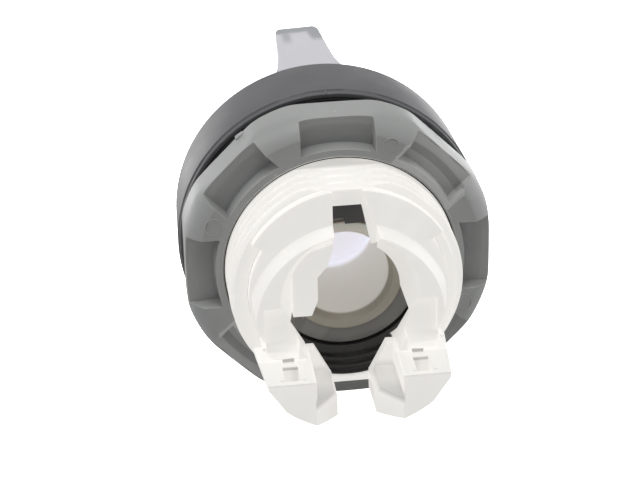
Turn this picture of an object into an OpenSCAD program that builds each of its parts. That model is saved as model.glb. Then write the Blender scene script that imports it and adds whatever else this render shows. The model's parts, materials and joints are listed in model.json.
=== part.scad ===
// Illuminated rotary selector switch for a 22 mm panel hole.
// The origin is on the switch's axis at the rear face of the gasket, where the panel's front face lies.
// +Y points behind the panel, the handle faces -Y, and +Z is the twelve o'clock side.
// Angles round the axis start at +Z and grow towards +X.

/* [Front ring] */
// Outer diameter of the front ring at its rear edge
bezel_d = 29.5; // [29.5:0.1:31]
// Outer diameter of the front ring at its front edge
bezel_front_d = 28.9; // [28:0.1:29.5]
// Depth of the front ring from its front face to its rear face
bezel_depth = 8.8; // [8.4:0.1:9.6]
// Thickness of the ring's floor behind the sleeve's flange
bezel_floor_t = 2.8; // [2.6:0.1:3.2]
// Rounding of the front edge
bezel_edge_r = 0.9; // [0.4:0.1:1.2]
// Width of the stepped band at the ring's rear edge
bezel_band_w = 0.7; // [0.4:0.1:1]
// Step of that band below the ring's side
bezel_band_step = 0.15; // [0.1:0.05:0.3]

/* [Panel gasket] */
// Outer diameter of the gasket
gasket_d = 28.2; // [27:0.2:28.4]
// Thickness of the gasket
gasket_t = 0.8; // [0.7:0.1:1.2]
// Height that stands out behind the front ring
gasket_proud = 0.4; // [0.2:0.1:0.5]

/* [Threaded sleeve] */
// Diameter of the collar that centres the switch in the panel hole
collar_d = 22; // [21.8:0.1:22.2]
// Length of the collar behind the gasket
collar_len = 1; // [0.8:0.1:1]
// Depth of the groove that holds the gasket
neck_depth = 0.3; // [0.2:0.1:0.5]
// Diameter over the thread's crests
thread_d = 21.6; // [21:0.1:21.6]
// Diameter of the relief between collar and thread
relief_d = 20.4; // [20.2:0.1:20.6]
// Length of the relief
relief_len = 0.5; // [0.4:0.1:0.8]
// Distance from the panel plane to the sleeve's rear end
sleeve_len = 11.1; // [10.8:0.1:12]
// Height of the flat at twelve o'clock over the axis
flat_top = 10.05; // [9.95:0.05:10.4]
// Depth of the flat at six o'clock below the axis
flat_bottom = 9.65; // [9.6:0.05:10.4]
// Bore of the sleeve at its rear end
rear_bore_d = 18.4; // [18.3:0.1:18.6]
// Bore of the sleeve further forward
front_bore_d = 18; // [17.9:0.1:18.2]
// Diameter of the flange held in the front ring
flange_d = 24.2; // [23.8:0.1:24.3]
// Thickness of the flange
flange_t = 1.2; // [1:0.1:1.4]
// Thickness of the bearing rib
bearing_t = 1.6; // [1.2:0.1:1.8]

/* [Ring nut] */
// Diameter over the nut's corners
nut_d = 29.8; // [28:0.2:31]
// Distance across the nut's eight flats
nut_flats = 28.3; // [27:0.1:29.4]
// Thickness of the nut
nut_t = 5.2; // [4.6:0.1:6]
// Gap between panel plane and nut as drawn
nut_gap = 1.05; // [1.05:0.05:1.5]
// Length of the nut's straight side
nut_side = 2.6; // [2:0.1:3]
// Diameter of the nut's rear face
nut_face_d = 26.6; // [26:0.1:27.2]
// Diameter of the ring that is left between bore and notches
nut_ring_d = 24.2; // [23.8:0.1:24.6]
// Width of a notch
notch_w = 6.8; // [6:0.1:7.4]
// Depth of a notch
notch_depth = 1.6; // [1:0.1:2]
// Rise of the shoulder's curve over a straight slope
nut_bulge = 0.25; // [0.1:0.05:0.4]
// Chamfer of the nut's bore
nut_chamfer = 0.45; // [0.2:0.05:0.6]

/* [Handle and its light guide] */
// Height of the handle's front over the knob's disc
handle_h = 14.3; // [9:0.1:16]
// Length of the handle across the disc
handle_len = 26; // [24:0.5:28]
// Width of the handle at its foot
handle_foot_w = 7.4; // [6.4:0.2:8]
// Height of the flare at the handle's foot
handle_flare = 5; // [3:0.5:7]
// Widening of each side from the front to that flare
handle_waist = 0.55; // [0.2:0.05:0.8]
// Width of the handle at its front
handle_front_w = 4.2; // [4:0.2:5.6]
// Rounding of the handle's front edges
handle_edge_r = 0.6; // [0.4:0.1:1]
// Lean of the handle from twelve o'clock at rest, in degrees
handle_lean = 2.4; // [0:0.2:3]
// Wall of the clear shell
shell_t = 1.2; // [0.9:0.1:1.4]
// Height of the knob's disc over the front ring
disc_rise = 0.7; // [0.5:0.1:1]
// Outer diameter of the knob's skirt
knob_d = 24.2; // [23.8:0.1:24.4]
// Thickness of the clear shell's disc
disc_t = 1.4; // [1.3:0.1:1.8]
// Diameter of the light well in the white insert
light_well_d = 2.4; // [1.6:0.2:3]

/* [Rotor and lens cup] */
// Outer diameter of the rotor
rotor_d = 15.2; // [15:0.1:15.3]
// Diameter of the rotor's rear end, inside the guide ring
rotor_end_d = 14; // [13:0.1:14.4]
// Distance from the panel plane to the rotor's rear face
rotor_rear = 8.3; // [8:0.1:8.6]
// Diameter of the rotor's front flange
rotor_flange_d = 21.4; // [20:0.2:21.6]
// Thickness of the rotor's front flange
rotor_flange_t = 1; // [0.8:0.1:1.2]
// Outer diameter of the lens cup
cup_d = 11; // [10.6:0.1:11.4]
// Bore of the lens cup, where the lamp goes in
cup_bore_d = 8.5; // [8:0.1:9]
// Depth of the lens cup's bore
cup_depth = 11.5; // [10:0.5:12]
// Height of the cup's lip behind the rotor
cup_lip = 0.2; // [0.1:0.1:0.3]
// Thickness of the spring ring on the rotor
clip_t = 0.6; // [0.4:0.1:0.7]

/* [Cam and stops] */
// Turn of the handle between its two positions
turn_deg = 45; // [30:5:60]
// Travel of the two legs over that turn
cam_lift = 2; // [1:0.1:2]
// Outer diameter of the cam ring
cam_d = 17.6; // [17.4:0.1:17.7]
// Thickness of the cam ring's disc
cam_disc_t = 0.9; // [0.7:0.1:1]
// Width of a stop lug round the axis, in degrees
stop_deg = 20; // [14:2:24]

/* [Detent] */
// Diameter of a detent ball
ball_d = 1.2; // [1:0.1:1.3]
// Distance from the panel plane to the detent balls
detent_y = 2.6; // [2.5:0.05:2.65]
// Thickness of the rib that holds the balls
detent_rib_t = 2.2; // [2:0.1:2.2]
// Wire of a detent spring
detent_wire = 0.16; // [0.12:0.02:0.2]

/* [Guide ring] */
// Front face of the guide ring behind the panel plane
guide_front = 7.7; // [7.7:0.05:7.8]
// Height of one of the ring's four steps
guide_step = 0.75; // [0.7:0.05:0.8]
// Width of one of the ring's steps
guide_shelf = 0.4; // [0.3:0.05:0.4]
// Width of the index tab behind the top slot
tab_w = 3.6; // [3:0.1:4]
// Step in the index tab's inner edge
tab_step = 0.6; // [0.3:0.1:0.8]
// Distance of the tab's inner edge from the lens cup
tab_gap = 0.4; // [0.3:0.1:0.8]
// Thickness of the index tab
tab_t = 0.8; // [0.6:0.1:1]

/* [Rear cap] */
// Thickness of the cap's plate
cap_t = 0.9; // [0.7:0.1:1.2]
// Outer diameter of the cap's plate over the sleeve's end
cap_d = 20.4; // [20:0.1:21]
// Diameter of the cap's plate beside the sleeve
cap_body_d = 17.8; // [17:0.1:18.4]
// Half angle of the part that lies on the sleeve's end
cap_seat_deg = 58; // [45:1:65]
// Bore of the opening for the lamp
opening_d = 9.6; // [9.2:0.1:10]
// Widening of the opening on each side, below its middle
opening_flare = 0.8; // [0.4:0.1:1]
// Distance of that widest place below the axis
opening_flare_z = 2.5; // [2:0.1:3]
// Narrowing of the opening on each side at its foot
opening_foot_in = 1.1; // [0.8:0.1:1.4]
// Distance of the foot below the axis
opening_foot_z = 5.9; // [5.6:0.1:6.4]
// Depth of the cap's rim below the sleeve's end
rim_drop = 0.2; // [0.1:0.05:0.3]
// Height of the key beside the opening over the plate
key_h = 0.3; // [0.1:0.1:0.6]
// Distance of the key's inner edge from the axis
key_x = 2.9; // [2.7:0.1:3.1]
// Depth of the key's lower end below the axis
key_low = 1.9; // [1.6:0.1:2.2]
// Bevel of the key's lower corner
key_bevel = 0.6; // [0.3:0.1:0.7]
// Height where the key's inner edge turns towards the middle
key_turn = 1.9; // [1.6:0.1:2.2]
// Distance of the key's upper end from the middle
key_tip_x = 1.3; // [1:0.1:1.6]
// Height of the key's upper end over the axis
key_tip_z = 5.2; // [5:0.1:5.6]
// Height of the raised part over the plate
collar_h = 1.2; // [0.8:0.1:1.5]
// Radius of the raised part's upper edge
raised_r = 9.45; // [9.3:0.05:9.6]
// Width of the slope along that edge
raised_slope = 0.8; // [0.3:0.1:0.8]
// Distance of that edge's centre below the axis
raised_drop = 2.4; // [2.3:0.05:2.5]
// Diameter of the funnel round the opening at its rear edge
collar_mouth_d = 12.8; // [12:0.1:13]
// Width of the top slot at its outer end
slot_w = 2.7; // [2:0.1:3]
// Height over the axis where the slot's right wall begins to slant
slot_knee_z = 10.2; // [9.6:0.1:10.6]
// Height over the axis where that slant ends
slot_foot_z = 6; // [5.4:0.1:6.6]
// Slant of the slot's right wall
slot_slant = 1.4; // [0:0.1:1.6]
// Width of the web that closes the slot's outer end
slot_web_w = 1.5; // [1:0.1:1.8]
// Thickness of that web
slot_web_t = 0.4; // [0.3:0.1:0.6]
// Distance of the two hollow lobes from the axis
lobe_x = 4.2; // [4:0.1:4.6]
// Width of the lip at a lobe's lower edge
lip_w = 1.4; // [0.8:0.1:2]
// Height of the lobes' lower edge behind the plate's front face
lobe_h = 3.2; // [2.6:0.1:3.4]
// Left end of the hollow
scoop_x0 = 5; // [4.8:0.1:5.4]
// Right end of the hollow
scoop_x1 = 7.9; // [7.4:0.1:8.2]
// Radius of the hollow across the lobes
scoop_r = 3; // [2.8:0.1:3.2]
// Middle of the hollow below the axis
scoop_z = 2.5; // [2.3:0.1:2.7]
// Depth of the hollow below the raised part
scoop_depth = 0.8; // [0.5:0.1:0.9]

/* [Legs] */
// Distance from the panel plane to the legs' rear faces
leg_rear = 18.7; // [17:0.1:20]
// Top face of the legs below the axis
leg_top = 5.25; // [5.1:0.05:5.6]
// Outer radius of the legs
leg_r = 10.5; // [10:0.1:10.6]
// Outer side of the legs at their rear faces
leg_side = 8.25; // [8:0.05:8.6]
// Taper of the legs' outer sides, in degrees
leg_taper = 5; // [0:1:6]
// Half width of the gap between the legs
leg_gap = 1.75; // [1.4:0.05:2.2]
// Width of the bevel at a leg's upper inner edge
brow_w = 1.6; // [1:0.1:2]
// Height of that bevel
brow_h = 3.1; // [2.6:0.1:3.4]
// Height of a leg's upper outer edge
crown_h = 0.5; // [0.3:0.1:0.8]
// Distance of the arch under a leg from its outer side
arch_w = 3.65; // [3.2:0.05:4]
// Distance of that arch below the leg's top face
arch_h = 4.6; // [4.2:0.1:4.8]
// Length of the slope on a leg's inner side
slope_len = 2.7; // [2:0.1:3.4]
// Width of the slope on a leg's inner side
slope_w = 2.2; // [1.6:0.1:2.6]
// Depth of the pocket in a leg's inner side
pocket_depth = 2.3; // [1.6:0.1:3]
// Distance of the window in a leg's top from the middle
window_x = 5.95; // [5.7:0.05:6.3]
// Width of the window in a leg's top
window_w = 1.4; // [1:0.1:1.8]
// Length of the window
window_len = 2.7; // [2:0.1:3]
// Depth of the window
window_depth = 2.4; // [1.5:0.1:3]
// Distance of the window from the lobe in front of it
window_gap = 1.1; // [1:0.1:1.4]
// Width of the two ribs beside the window
rib_w = 0.4; // [0.2:0.1:0.5]
// Height of those ribs
rib_h = 0.15; // [0.1:0.05:0.3]
// Width of the slit between window and lobe
slit_w = 1.1; // [0.8:0.1:1.4]
// Length of the slit
slit_len = 1.3; // [1:0.1:1.4]
// Width of a leg's finger round the axis, in degrees
finger_deg = 12; // [8:1:14]
// Radial thickness of the fingers
finger_t = 1; // [0.8:0.05:1]

/* [Clearances] */
// Radial clearance of the rotor in its bearing
rotor_fit = 0.05; // [0.03:0.01:0.1]
// Radial clearance of the nut on the thread
nut_fit = 0.1; // [0.05:0.01:0.1]
// Radial clearance of the knob in the front ring
knob_fit = 0.15; // [0.1:0.01:0.2]
// Clearance between pieces that are pressed or clipped together
seat_fit = 0.05; // [0.02:0.01:0.06]
// Clearance between sliding or turning faces
slide_gap = 0.1; // [0.08:0.01:0.15]
// Clearance between the cam and the legs' fingers
cam_gap = 0.2; // [0.15:0.01:0.25]

/* [Hidden] */
$fn = 72;

// Places along the axis, from front to rear
bezel_rear = -gasket_proud;
bezel_front = bezel_rear - bezel_depth;
flange_rear = bezel_rear - bezel_floor_t;
flange_front = flange_rear - flange_t;
gasket_front = -gasket_t;
disc_front = bezel_front - disc_rise;
handle_front = disc_front - handle_h;
skirt_rear = flange_front - 3 * slide_gap;
rotor_flange_rear = skirt_rear - 4 * slide_gap;
rotor_flange_front = rotor_flange_rear - rotor_flange_t;
insert_front = disc_front + disc_t;
bearing_front = flange_front + 2;
bearing_rear = bearing_front + bearing_t;
detent_front = detent_y - detent_rib_t / 2;
detent_rear = detent_y + detent_rib_t / 2;
clip_front = detent_rear + slide_gap;
cam_front = clip_front + clip_t + slide_gap;
cam_face = cam_front + cam_disc_t;
finger_front = cam_face + cam_gap;
guide_rear = guide_front + 4 * guide_step;
tab_rear = guide_rear - 1.2 * guide_step;
nut_front = nut_gap;
nut_rear = nut_front + nut_t;
cap_rear = sleeve_len + cap_t;
collar_rear = cap_rear + collar_h;
lobe_rear = sleeve_len + lobe_h;
leg_front = sleeve_len + 2 * slide_gap;
cup_rear = rotor_rear + cup_lip;

// Radii
collar_r = collar_d / 2;
neck_r = collar_r - neck_depth;
thread_r = thread_d / 2;
rotor_r = rotor_d / 2;
rotor_end_r = rotor_end_d / 2;
cup_r = cup_d / 2;
cup_seat_r = cup_r + seat_fit;
knob_r = knob_d / 2;
skirt_bore_r = rotor_flange_d / 2 + 4 * seat_fit;
handle_corner = 0.3;
hollow_half = skirt_bore_r - handle_corner - 2 * seat_fit;
groove_depth = 0.4;
clip_r = rotor_r + 1;
rear_bore_r = rear_bore_d / 2;
front_bore_r = front_bore_d / 2;
guide_r = rear_bore_r - seat_fit;
guide_bore_r = rotor_r + 2 * slide_gap;
finger_in_r = guide_bore_r;
finger_out_r = finger_in_r + finger_t;
cam_r = cam_d / 2;
ball_r = ball_d / 2;
ball_x = rotor_r + slide_gap / 2 + ball_r;
spring_r = ball_r - slide_gap;
spring_end_x = thread_r - 1;
rib_bore_r = rotor_r + 1.5 * slide_gap;
rib_root_r = front_bore_r + 0.5;
lug_r = front_bore_r - 2 * slide_gap;

// Angles of the legs, the cam's ramps and the stops
finger_mid = 140;
finger_angles = [finger_mid, 360 - finger_mid];
ramp_deg = turn_deg + 3;
cam_tilt = atan(cam_lift / (cam_r * sin(turn_deg)));
lug_angle = 180;
detent_angles = [90, 270];
plenty = 60;
overlap = 0.01;
seat_w = 0.8;

// Point at a radius and an angle, in the plane across the axis
function at(r, a) = [r * sin(a), r * cos(a)];

// Corner of an outline, rounded by an arc about its centre
function arc(c, r, a0, a1, n = 8) = [for (i = [0:n]) c + at(r, a0 + (a1 - a0) * i / n)];

// Smooth curve from p to q that leans towards a middle point
function bend(p, middle, q, n = 8) =
    [for (i = [0:n]) let (t = i / n) (1 - t) * (1 - t) * p + 2 * t * (1 - t) * middle + t * t * q];

// Flat shape across the axis, carried from y0 to y1
module slab(y0, y1) {
    translate([0, y1, 0]) rotate([90, 0, 0]) linear_extrude(height = y1 - y0) children();
}

// Cylinder or cone on the axis from y0 to y1
module disc(y0, y1, r0, r1 = -1) {
    translate([0, y0, 0]) rotate([-90, 0, 0])
        cylinder(h = y1 - y0, r1 = r0, r2 = r1 < 0 ? r0 : r1, $fn = 144);
}

// Ring on the axis from y0 to y1
module ring(y0, y1, r_out, r_in) {
    difference() {
        disc(y0, y1, r_out);
        disc(y0 - 1, y1 + 1, r_in);
    }
}

// Body turned about the axis from an outline of radius and depth
module turned() {
    rotate([-90, 0, 0]) rotate_extrude($fn = 144) children();
}

// Flat wedge between two angles
module wedge(a0, a1, r = plenty) {
    steps = ceil((a1 - a0) / 30);
    polygon(concat([[0, 0]], [for (i = [0:steps]) at(r, a0 + (a1 - a0) * i / steps)]));
}

// Flat ring sector between two radii and two angles
module sector(r_in, r_out, a0, a1) {
    intersection() {
        difference() {
            circle(r = r_out, $fn = 144);
            circle(r = r_in, $fn = 144);
        }
        wedge(a0, a1);
    }
}

// Front ring: outline with a rounded front edge, a band at the rear and a stepped bore
module bezel_ring() {
    r = bezel_d / 2;
    front_r = bezel_front_d / 2;
    bore_r = knob_r + knob_fit;
    color("#3c3c3e") difference() {
        turned() polygon(concat(
            [[collar_r + seat_fit, flange_rear], [bore_r, flange_rear], [bore_r, bezel_front + 0.3],
             [bore_r + 0.3, bezel_front]],
            arc([front_r - bezel_edge_r, bezel_front + bezel_edge_r], bezel_edge_r, 180, 90),
            [[r, bezel_rear - bezel_band_w], [r - bezel_band_step, bezel_rear - bezel_band_w + 0.1],
             [r - bezel_band_step, bezel_rear], [collar_r + seat_fit, bezel_rear]]));
        disc(gasket_front, bezel_rear + 1, gasket_d / 2 + seat_fit);
        disc(flange_rear + bezel_floor_t / 3, bezel_rear + 1, collar_r + 1);
    }
}

// Seal between the front ring and the sleeve
module bezel_seal() {
    color("#202022") ring(flange_rear + bezel_floor_t / 3, gasket_front, collar_r + 1 - seat_fit, collar_r + seat_fit);
}

// Gasket that lies on the panel
module panel_gasket() {
    color("#262628") ring(gasket_front, 0, gasket_d / 2, neck_r + seat_fit);
}

// Sleeve with flange, collar, relief, thread crests, bearing rib, detent rib and stops
module housing() {
    lead = 0.4;
    color("#f0eee6") difference() {
        union() {
            difference() {
                turned() polygon([
                    [front_bore_r, flange_front], [flange_d / 2, flange_front], [flange_d / 2, flange_rear],
                    [collar_r, flange_rear], [collar_r, gasket_front], [neck_r, gasket_front], [neck_r, 0],
                    [collar_r, 0], [collar_r, collar_len], [relief_d / 2, collar_len],
                    [relief_d / 2, collar_len + relief_len], [thread_r - lead, collar_len + relief_len],
                    [thread_r, collar_len + relief_len + lead], [thread_r, sleeve_len - lead],
                    [thread_r - lead, sleeve_len], [rear_bore_r, sleeve_len], [rear_bore_r, guide_front],
                    [front_bore_r, guide_front]]);
                thread_flats();
            }
            ring(bearing_front, bearing_rear, rib_root_r, rotor_r + rotor_fit);
            ring(detent_front, detent_rear, rib_root_r, rib_bore_r);
            stop_blocks();
        }
        for (a = detent_angles) rotate([0, a, 0]) translate([0, detent_y, 0])
            cylinder(h = spring_end_x, r = ball_r + slide_gap / 2, $fn = 32);
    }
}

// Flats at twelve and six o'clock, cut behind the collar
module thread_flats() {
    for (z = [flat_top, -flat_bottom - plenty]) translate([-plenty / 2, collar_len + relief_len, z])
        cube([plenty, plenty, plenty]);
}

// Stops in the sleeve on both sides of the rotor's lug, in front of the bearing
module stop_blocks() {
    low = lug_angle - stop_deg / 2 - 1;
    high = lug_angle + stop_deg / 2 + 1 + turn_deg;
    slab(flange_front + 2 * slide_gap, bearing_front + 0.01) {
        sector(rib_bore_r, rib_root_r, low - stop_deg, low);
        sector(rib_bore_r, rib_root_r, high, high + stop_deg);
    }
}

// Ring nut: side with flats, shoulder in two slopes, notches open to the outside and a chamfered bore
module mounting_nut() {
    r = nut_d / 2;
    face_r = nut_face_d / 2;
    bore_r = thread_r + nut_fit;
    shoulder = nut_front + nut_side;
    round = bend([r, shoulder], [r - nut_bulge, nut_rear - 3 * nut_bulge], [face_r, nut_rear], 7);
    color("#9a9d9b") difference() {
        intersection() {
            slab(nut_front, nut_rear) intersection_for(i = [0:3])
                rotate(i * 45) square([nut_flats, plenty], center = true);
            turned() polygon(concat([[0, nut_front], [r - 0.2, nut_front], [r, nut_front + 0.2]], round,
                                    [[0, nut_rear]]));
        }
        disc(nut_front - 1, nut_rear + 1, bore_r);
        disc(nut_front - 0.01, nut_front + nut_chamfer, bore_r + nut_chamfer, bore_r);
        disc(nut_rear - nut_chamfer, nut_rear + 0.01, bore_r, bore_r + nut_chamfer);
        for (i = [0:7]) rotate([0, i * 45, 0]) nut_notch();
    }
}

// One notch, from the ring round the bore to the outside
module nut_notch() {
    difference() {
        translate([-notch_w / 2, nut_rear - notch_depth, 0]) cube([notch_w, plenty, plenty]);
        disc(nut_front, plenty, nut_ring_d / 2);
    }
}

// Cross section of the handle, narrower at the front, with rounded front edges
module handle_section(inset) {
    foot = handle_foot_w / 2 - inset;
    front = handle_front_w / 2 - inset;
    y0 = handle_front + inset;
    r = min(handle_edge_r, front - 0.1);
    waist = [front + handle_waist, disc_front - handle_flare];
    side = bend([foot, disc_front + 0.2], [front + handle_waist + 0.1, disc_front - 1], waist, 5);
    polygon(concat([[foot, 0], [-foot, 0]], [for (p = side) [-p.x, p.y]],
                   arc([-front + r, y0 + r], r, 270, 180), arc([front - r, y0 + r], r, 180, 90),
                   [for (i = [5:-1:0]) side[i]]));
}

// Side view of the handle, with rounded front corners
module handle_side(inset, half) {
    y0 = handle_front + inset;
    r = 2 * handle_edge_r;
    polygon(concat([[half, 0], [-half, 0]],
                   arc([-half + r, y0 + r], r, 270, 180), arc([half - r, y0 + r], r, 180, 90)));
}

// Solid bar of the handle, drawn in by an inset, with half its length given
module handle_form(inset, half, y_foot) {
    rotate([0, handle_lean, 0]) intersection() {
        linear_extrude(height = plenty, center = true) handle_section(inset);
        rotate([0, 90, 0]) linear_extrude(height = plenty, center = true) handle_side(inset, half);
        disc(handle_front - 1, y_foot, half + handle_corner);
    }
}

// Clear shell: disc, skirt and hollow handle
module knob_shell() {
    color([0.86, 0.87, 0.9, 0.55]) difference() {
        union() {
            disc(disc_front + 0.4, skirt_rear, knob_r);
            disc(disc_front, disc_front + 0.4, knob_r - 0.4, knob_r);
            handle_form(0, handle_len / 2, disc_front + 0.1);
        }
        disc(insert_front, skirt_rear + 1, skirt_bore_r);
        handle_form(shell_t, hollow_half, insert_front + 0.1);
    }
}

// White insert: disc and bar inside the handle, with a light well
module knob_diffuser() {
    color("#f6f6f8") difference() {
        union() {
            disc(insert_front + seat_fit, rotor_flange_front, skirt_bore_r - seat_fit);
            handle_form(shell_t + 2 * seat_fit, hollow_half - 2 * seat_fit, insert_front + 0.2);
        }
        disc(handle_front + 3 * shell_t, 0, light_well_d / 2);
    }
}

// Rotor: front flange, tube, groove for the spring ring, stop lug and detent dimples
module rotor() {
    color("#2c2c2e") difference() {
        union() {
            disc(rotor_flange_front, rotor_flange_rear, rotor_flange_d / 2);
            disc(rotor_flange_rear - 0.1, guide_front - slide_gap, rotor_r);
            disc(rotor_flange_rear - 0.1, rotor_rear, rotor_end_r);
            slab(rotor_flange_rear - 0.1, bearing_front - 2 * slide_gap)
                sector(rotor_r - 0.5, lug_r, lug_angle - stop_deg / 2, lug_angle + stop_deg / 2);
        }
        disc(rotor_flange_front - 1, rotor_rear + 1, cup_seat_r);
        ring(clip_front, clip_front + clip_t, clip_r, rotor_r - groove_depth);
        for (a = detent_angles) for (turn = [0, turn_deg]) rotate([0, a - turn, 0])
            translate([0, detent_y, ball_x - groove_depth / 2]) sphere(r = ball_r, $fn = 48);
    }
}

// Cam ring on the rotor, with a ramp for each leg that ends at the leg's finger
module cam_ring() {
    color("#37373a") {
        ring(cam_front, cam_face, cam_r, rotor_r + seat_fit / 2);
        for (a = finger_angles) cam_ramp(a - finger_deg / 2);
    }
}

// One ramp, which falls to nothing at the given angle
module cam_ramp(a) {
    intersection() {
        slab(cam_face - 0.01, guide_front - slide_gap) sector(rotor_r + seat_fit / 2, cam_r, a - ramp_deg, a);
        rotate([0, a, 0]) translate([0, cam_face, 0]) rotate([0, 0, -cam_tilt])
            translate([-plenty, -plenty, 0]) cube([plenty, plenty, plenty]);
    }
}

// Translucent cup in the rotor, closed at the front, which the lamp enters from behind
module lens_cup() {
    color("#cfcbc3") difference() {
        disc(cup_rear - cup_depth - 0.8, cup_rear, cup_r);
        disc(cup_rear - cup_depth, cup_rear + 1, cup_bore_d / 2);
        disc(cup_rear - 0.5, cup_rear + 0.01, cup_bore_d / 2, cup_bore_d / 2 + 0.4);
    }
}

// Seal on the sleeve's flange, in front of the bearing
module knob_seal() {
    color("#1f1f21")
        ring(flange_front - 5 * slide_gap, flange_front, rotor_flange_d / 2 - 3 * slide_gap, front_bore_r + 2 * slide_gap);
}

// Spring ring in the rotor's groove, open at the bottom
module rotor_clip() {
    color("#b8babc") slab(clip_front + 0.02, clip_front + clip_t - 0.02)
        sector(rotor_r - groove_depth + 0.02, clip_r, -160, 160);
}

// Ball that clicks into the rotor's dimples, drawn as it rides on the rotor
module detent_ball(a) {
    color("#c4c6c8") rotate([0, a, 0]) translate([0, detent_y, ball_x]) sphere(r = ball_r, $fn = 48);
}

// Spring behind a detent ball, drawn as closed turns of wire
module detent_spring(a) {
    z0 = ball_x + 0.8 * ball_r;
    turns = floor((spring_end_x - z0) / detent_wire);
    pitch = (spring_end_x - z0) / turns;
    color("#a9abad") rotate([0, a, 0]) translate([0, detent_y, z0]) for (i = [0:turns - 1])
        translate([0, 0, (i + 0.5) * pitch]) rotate_extrude($fn = 32)
            translate([spring_r - detent_wire / 2, 0]) circle(d = detent_wire, $fn = 16);
}

// Stepped black ring that guides the legs' fingers, with the index tab at the top
module guide_ring() {
    tab_z = cup_r + tab_gap;
    color("#19191b") difference() {
        union() {
            difference() {
                disc(guide_front, guide_rear, guide_r);
                disc(guide_front - plenty, guide_rear + plenty, rotor_end_r + 3 * slide_gap);
                for (i = [1:3])
                    disc(guide_front + i * guide_step, guide_rear + plenty, guide_bore_r + i * guide_shelf);
            }
            slab(tab_rear - tab_t, tab_rear) intersection() {
                circle(r = guide_r - seat_fit, $fn = 144);
                polygon([[-tab_w / 2, tab_z], [0, tab_z], [0, tab_z + tab_step], [tab_w / 2, tab_z + tab_step],
                         [tab_w / 2, plenty], [-tab_w / 2, plenty]]);
            }
        }
        for (a = finger_angles) slab(guide_front - 1, guide_rear + 1)
            sector(finger_in_r - slide_gap, finger_out_r + slide_gap, a - finger_deg / 2 - 1,
                   a + finger_deg / 2 + 1);
    }
}

// Opening of the rear cap: round at the top and wider below
module opening_outline() {
    r = opening_d / 2;
    wide = r + opening_flare;
    foot = r - opening_foot_in;
    circle(r = r, $fn = 144);
    polygon([[r, 0], [wide, -opening_flare_z], [foot, -opening_foot_z], [foot, -plenty], [-foot, -plenty],
             [-foot, -opening_foot_z], [-wide, -opening_flare_z], [-r, 0]]);
}

// Rear cap: plate, raised part with a funnel, top slot, key beside the opening and two hollow lobes
module rear_cap() {
    color("#f3f1ea") difference() {
        union() {
            difference() {
                union() {
                    slab(sleeve_len, cap_rear) cap_plate();
                    raised_part();
                    cap_rim();
                    for (side = [-1, 1]) scale([side, 1, 1]) lobe();
                }
                for (side = [-1, 1]) scale([side, 1, 1]) scoop();
                disc(sleeve_len, collar_rear + overlap, opening_d / 2, collar_mouth_d / 2);
                slab(sleeve_len - 1, plenty) opening_outline();
            }
            opening_key();
        }
        slab(guide_rear - 1, plenty) slot_outline();
    }
    color("#f3f1ea") slab(sleeve_len, sleeve_len + slot_web_t)
        translate([-slot_w / 2 - 0.5, flat_top - slot_web_w]) square([slot_w + 1, slot_web_w]);
}

// Plate of the cap, wide where it lies on the sleeve and narrow beside it
module cap_plate() {
    intersection() {
        union() {
            intersection() {
                circle(d = cap_d, $fn = 144);
                translate([-plenty / 2, flat_top - plenty]) square(plenty);
                wedge(-cap_seat_deg, cap_seat_deg);
            }
            circle(d = cap_body_d, $fn = 144);
        }
        translate([-plenty / 2, slide_gap - leg_top]) square(plenty);
    }
}

// Rim that centres the cap in the sleeve's bore, a little below the sleeve's end
module cap_rim() {
    in_r = cap_body_d / 2 - 0.9;
    intersection() {
        union() {
            ring(guide_rear, sleeve_len - rim_drop, rear_bore_r - seat_fit, in_r);
            ring(guide_rear, cap_rear - 0.2, cap_body_d / 2 - seat_fit, in_r);
        }
        slab(0, plenty) translate([-plenty / 2, slide_gap - leg_top]) square(plenty);
    }
}

// Raised part of the cap: its sloping upper edge is an arc about a point below the axis
module raised_part() {
    intersection() {
        translate([0, 0, -raised_drop]) disc(cap_rear - 0.1, collar_rear, raised_r, raised_r - raised_slope);
        disc(sleeve_len + 0.2, collar_rear - overlap, cap_body_d / 2 - seat_fit);
        slab(0, plenty) translate([-plenty / 2, slide_gap - leg_top]) square(plenty);
    }
}

// Outline of the top slot, with a slanted wall on the right
module slot_outline() {
    x = slot_w / 2;
    low = (opening_d - 2 * seat_w) / 2;
    polygon([[x, plenty], [x, low], [-x - slot_slant, low], [-x - slot_slant, slot_foot_z], [-x, slot_knee_z],
             [-x, plenty]]);
}

// Key that narrows the opening on the left, below the funnel's rim
module opening_key() {
    x = (opening_d + seat_w) / 2;
    slab(sleeve_len, cap_rear + key_h)
        polygon([[x, key_tip_z - 2 * key_bevel], [x, -key_low], [key_x + key_bevel, -key_low],
                 [key_x, 2.5 * key_bevel - key_low], [key_x, key_turn],
                 [key_tip_x + key_bevel, key_turn + 2 * key_bevel], [key_tip_x, key_tip_z]]);
}

// Lip at a lobe's lower edge, beside the leg
module lobe() {
    z0 = slide_gap - leg_top;
    slab(sleeve_len, lobe_rear) intersection() {
        circle(d = cap_body_d, $fn = 144);
        translate([lobe_x, z0]) square([plenty, lip_w]);
    }
}

// Hollow across a lobe
module scoop() {
    translate([scoop_x0, collar_rear - scoop_depth + scoop_r, -scoop_z]) rotate([0, 90, 0])
        cylinder(h = scoop_x1 - scoop_x0, r = scoop_r, $fn = 96);
}

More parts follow.
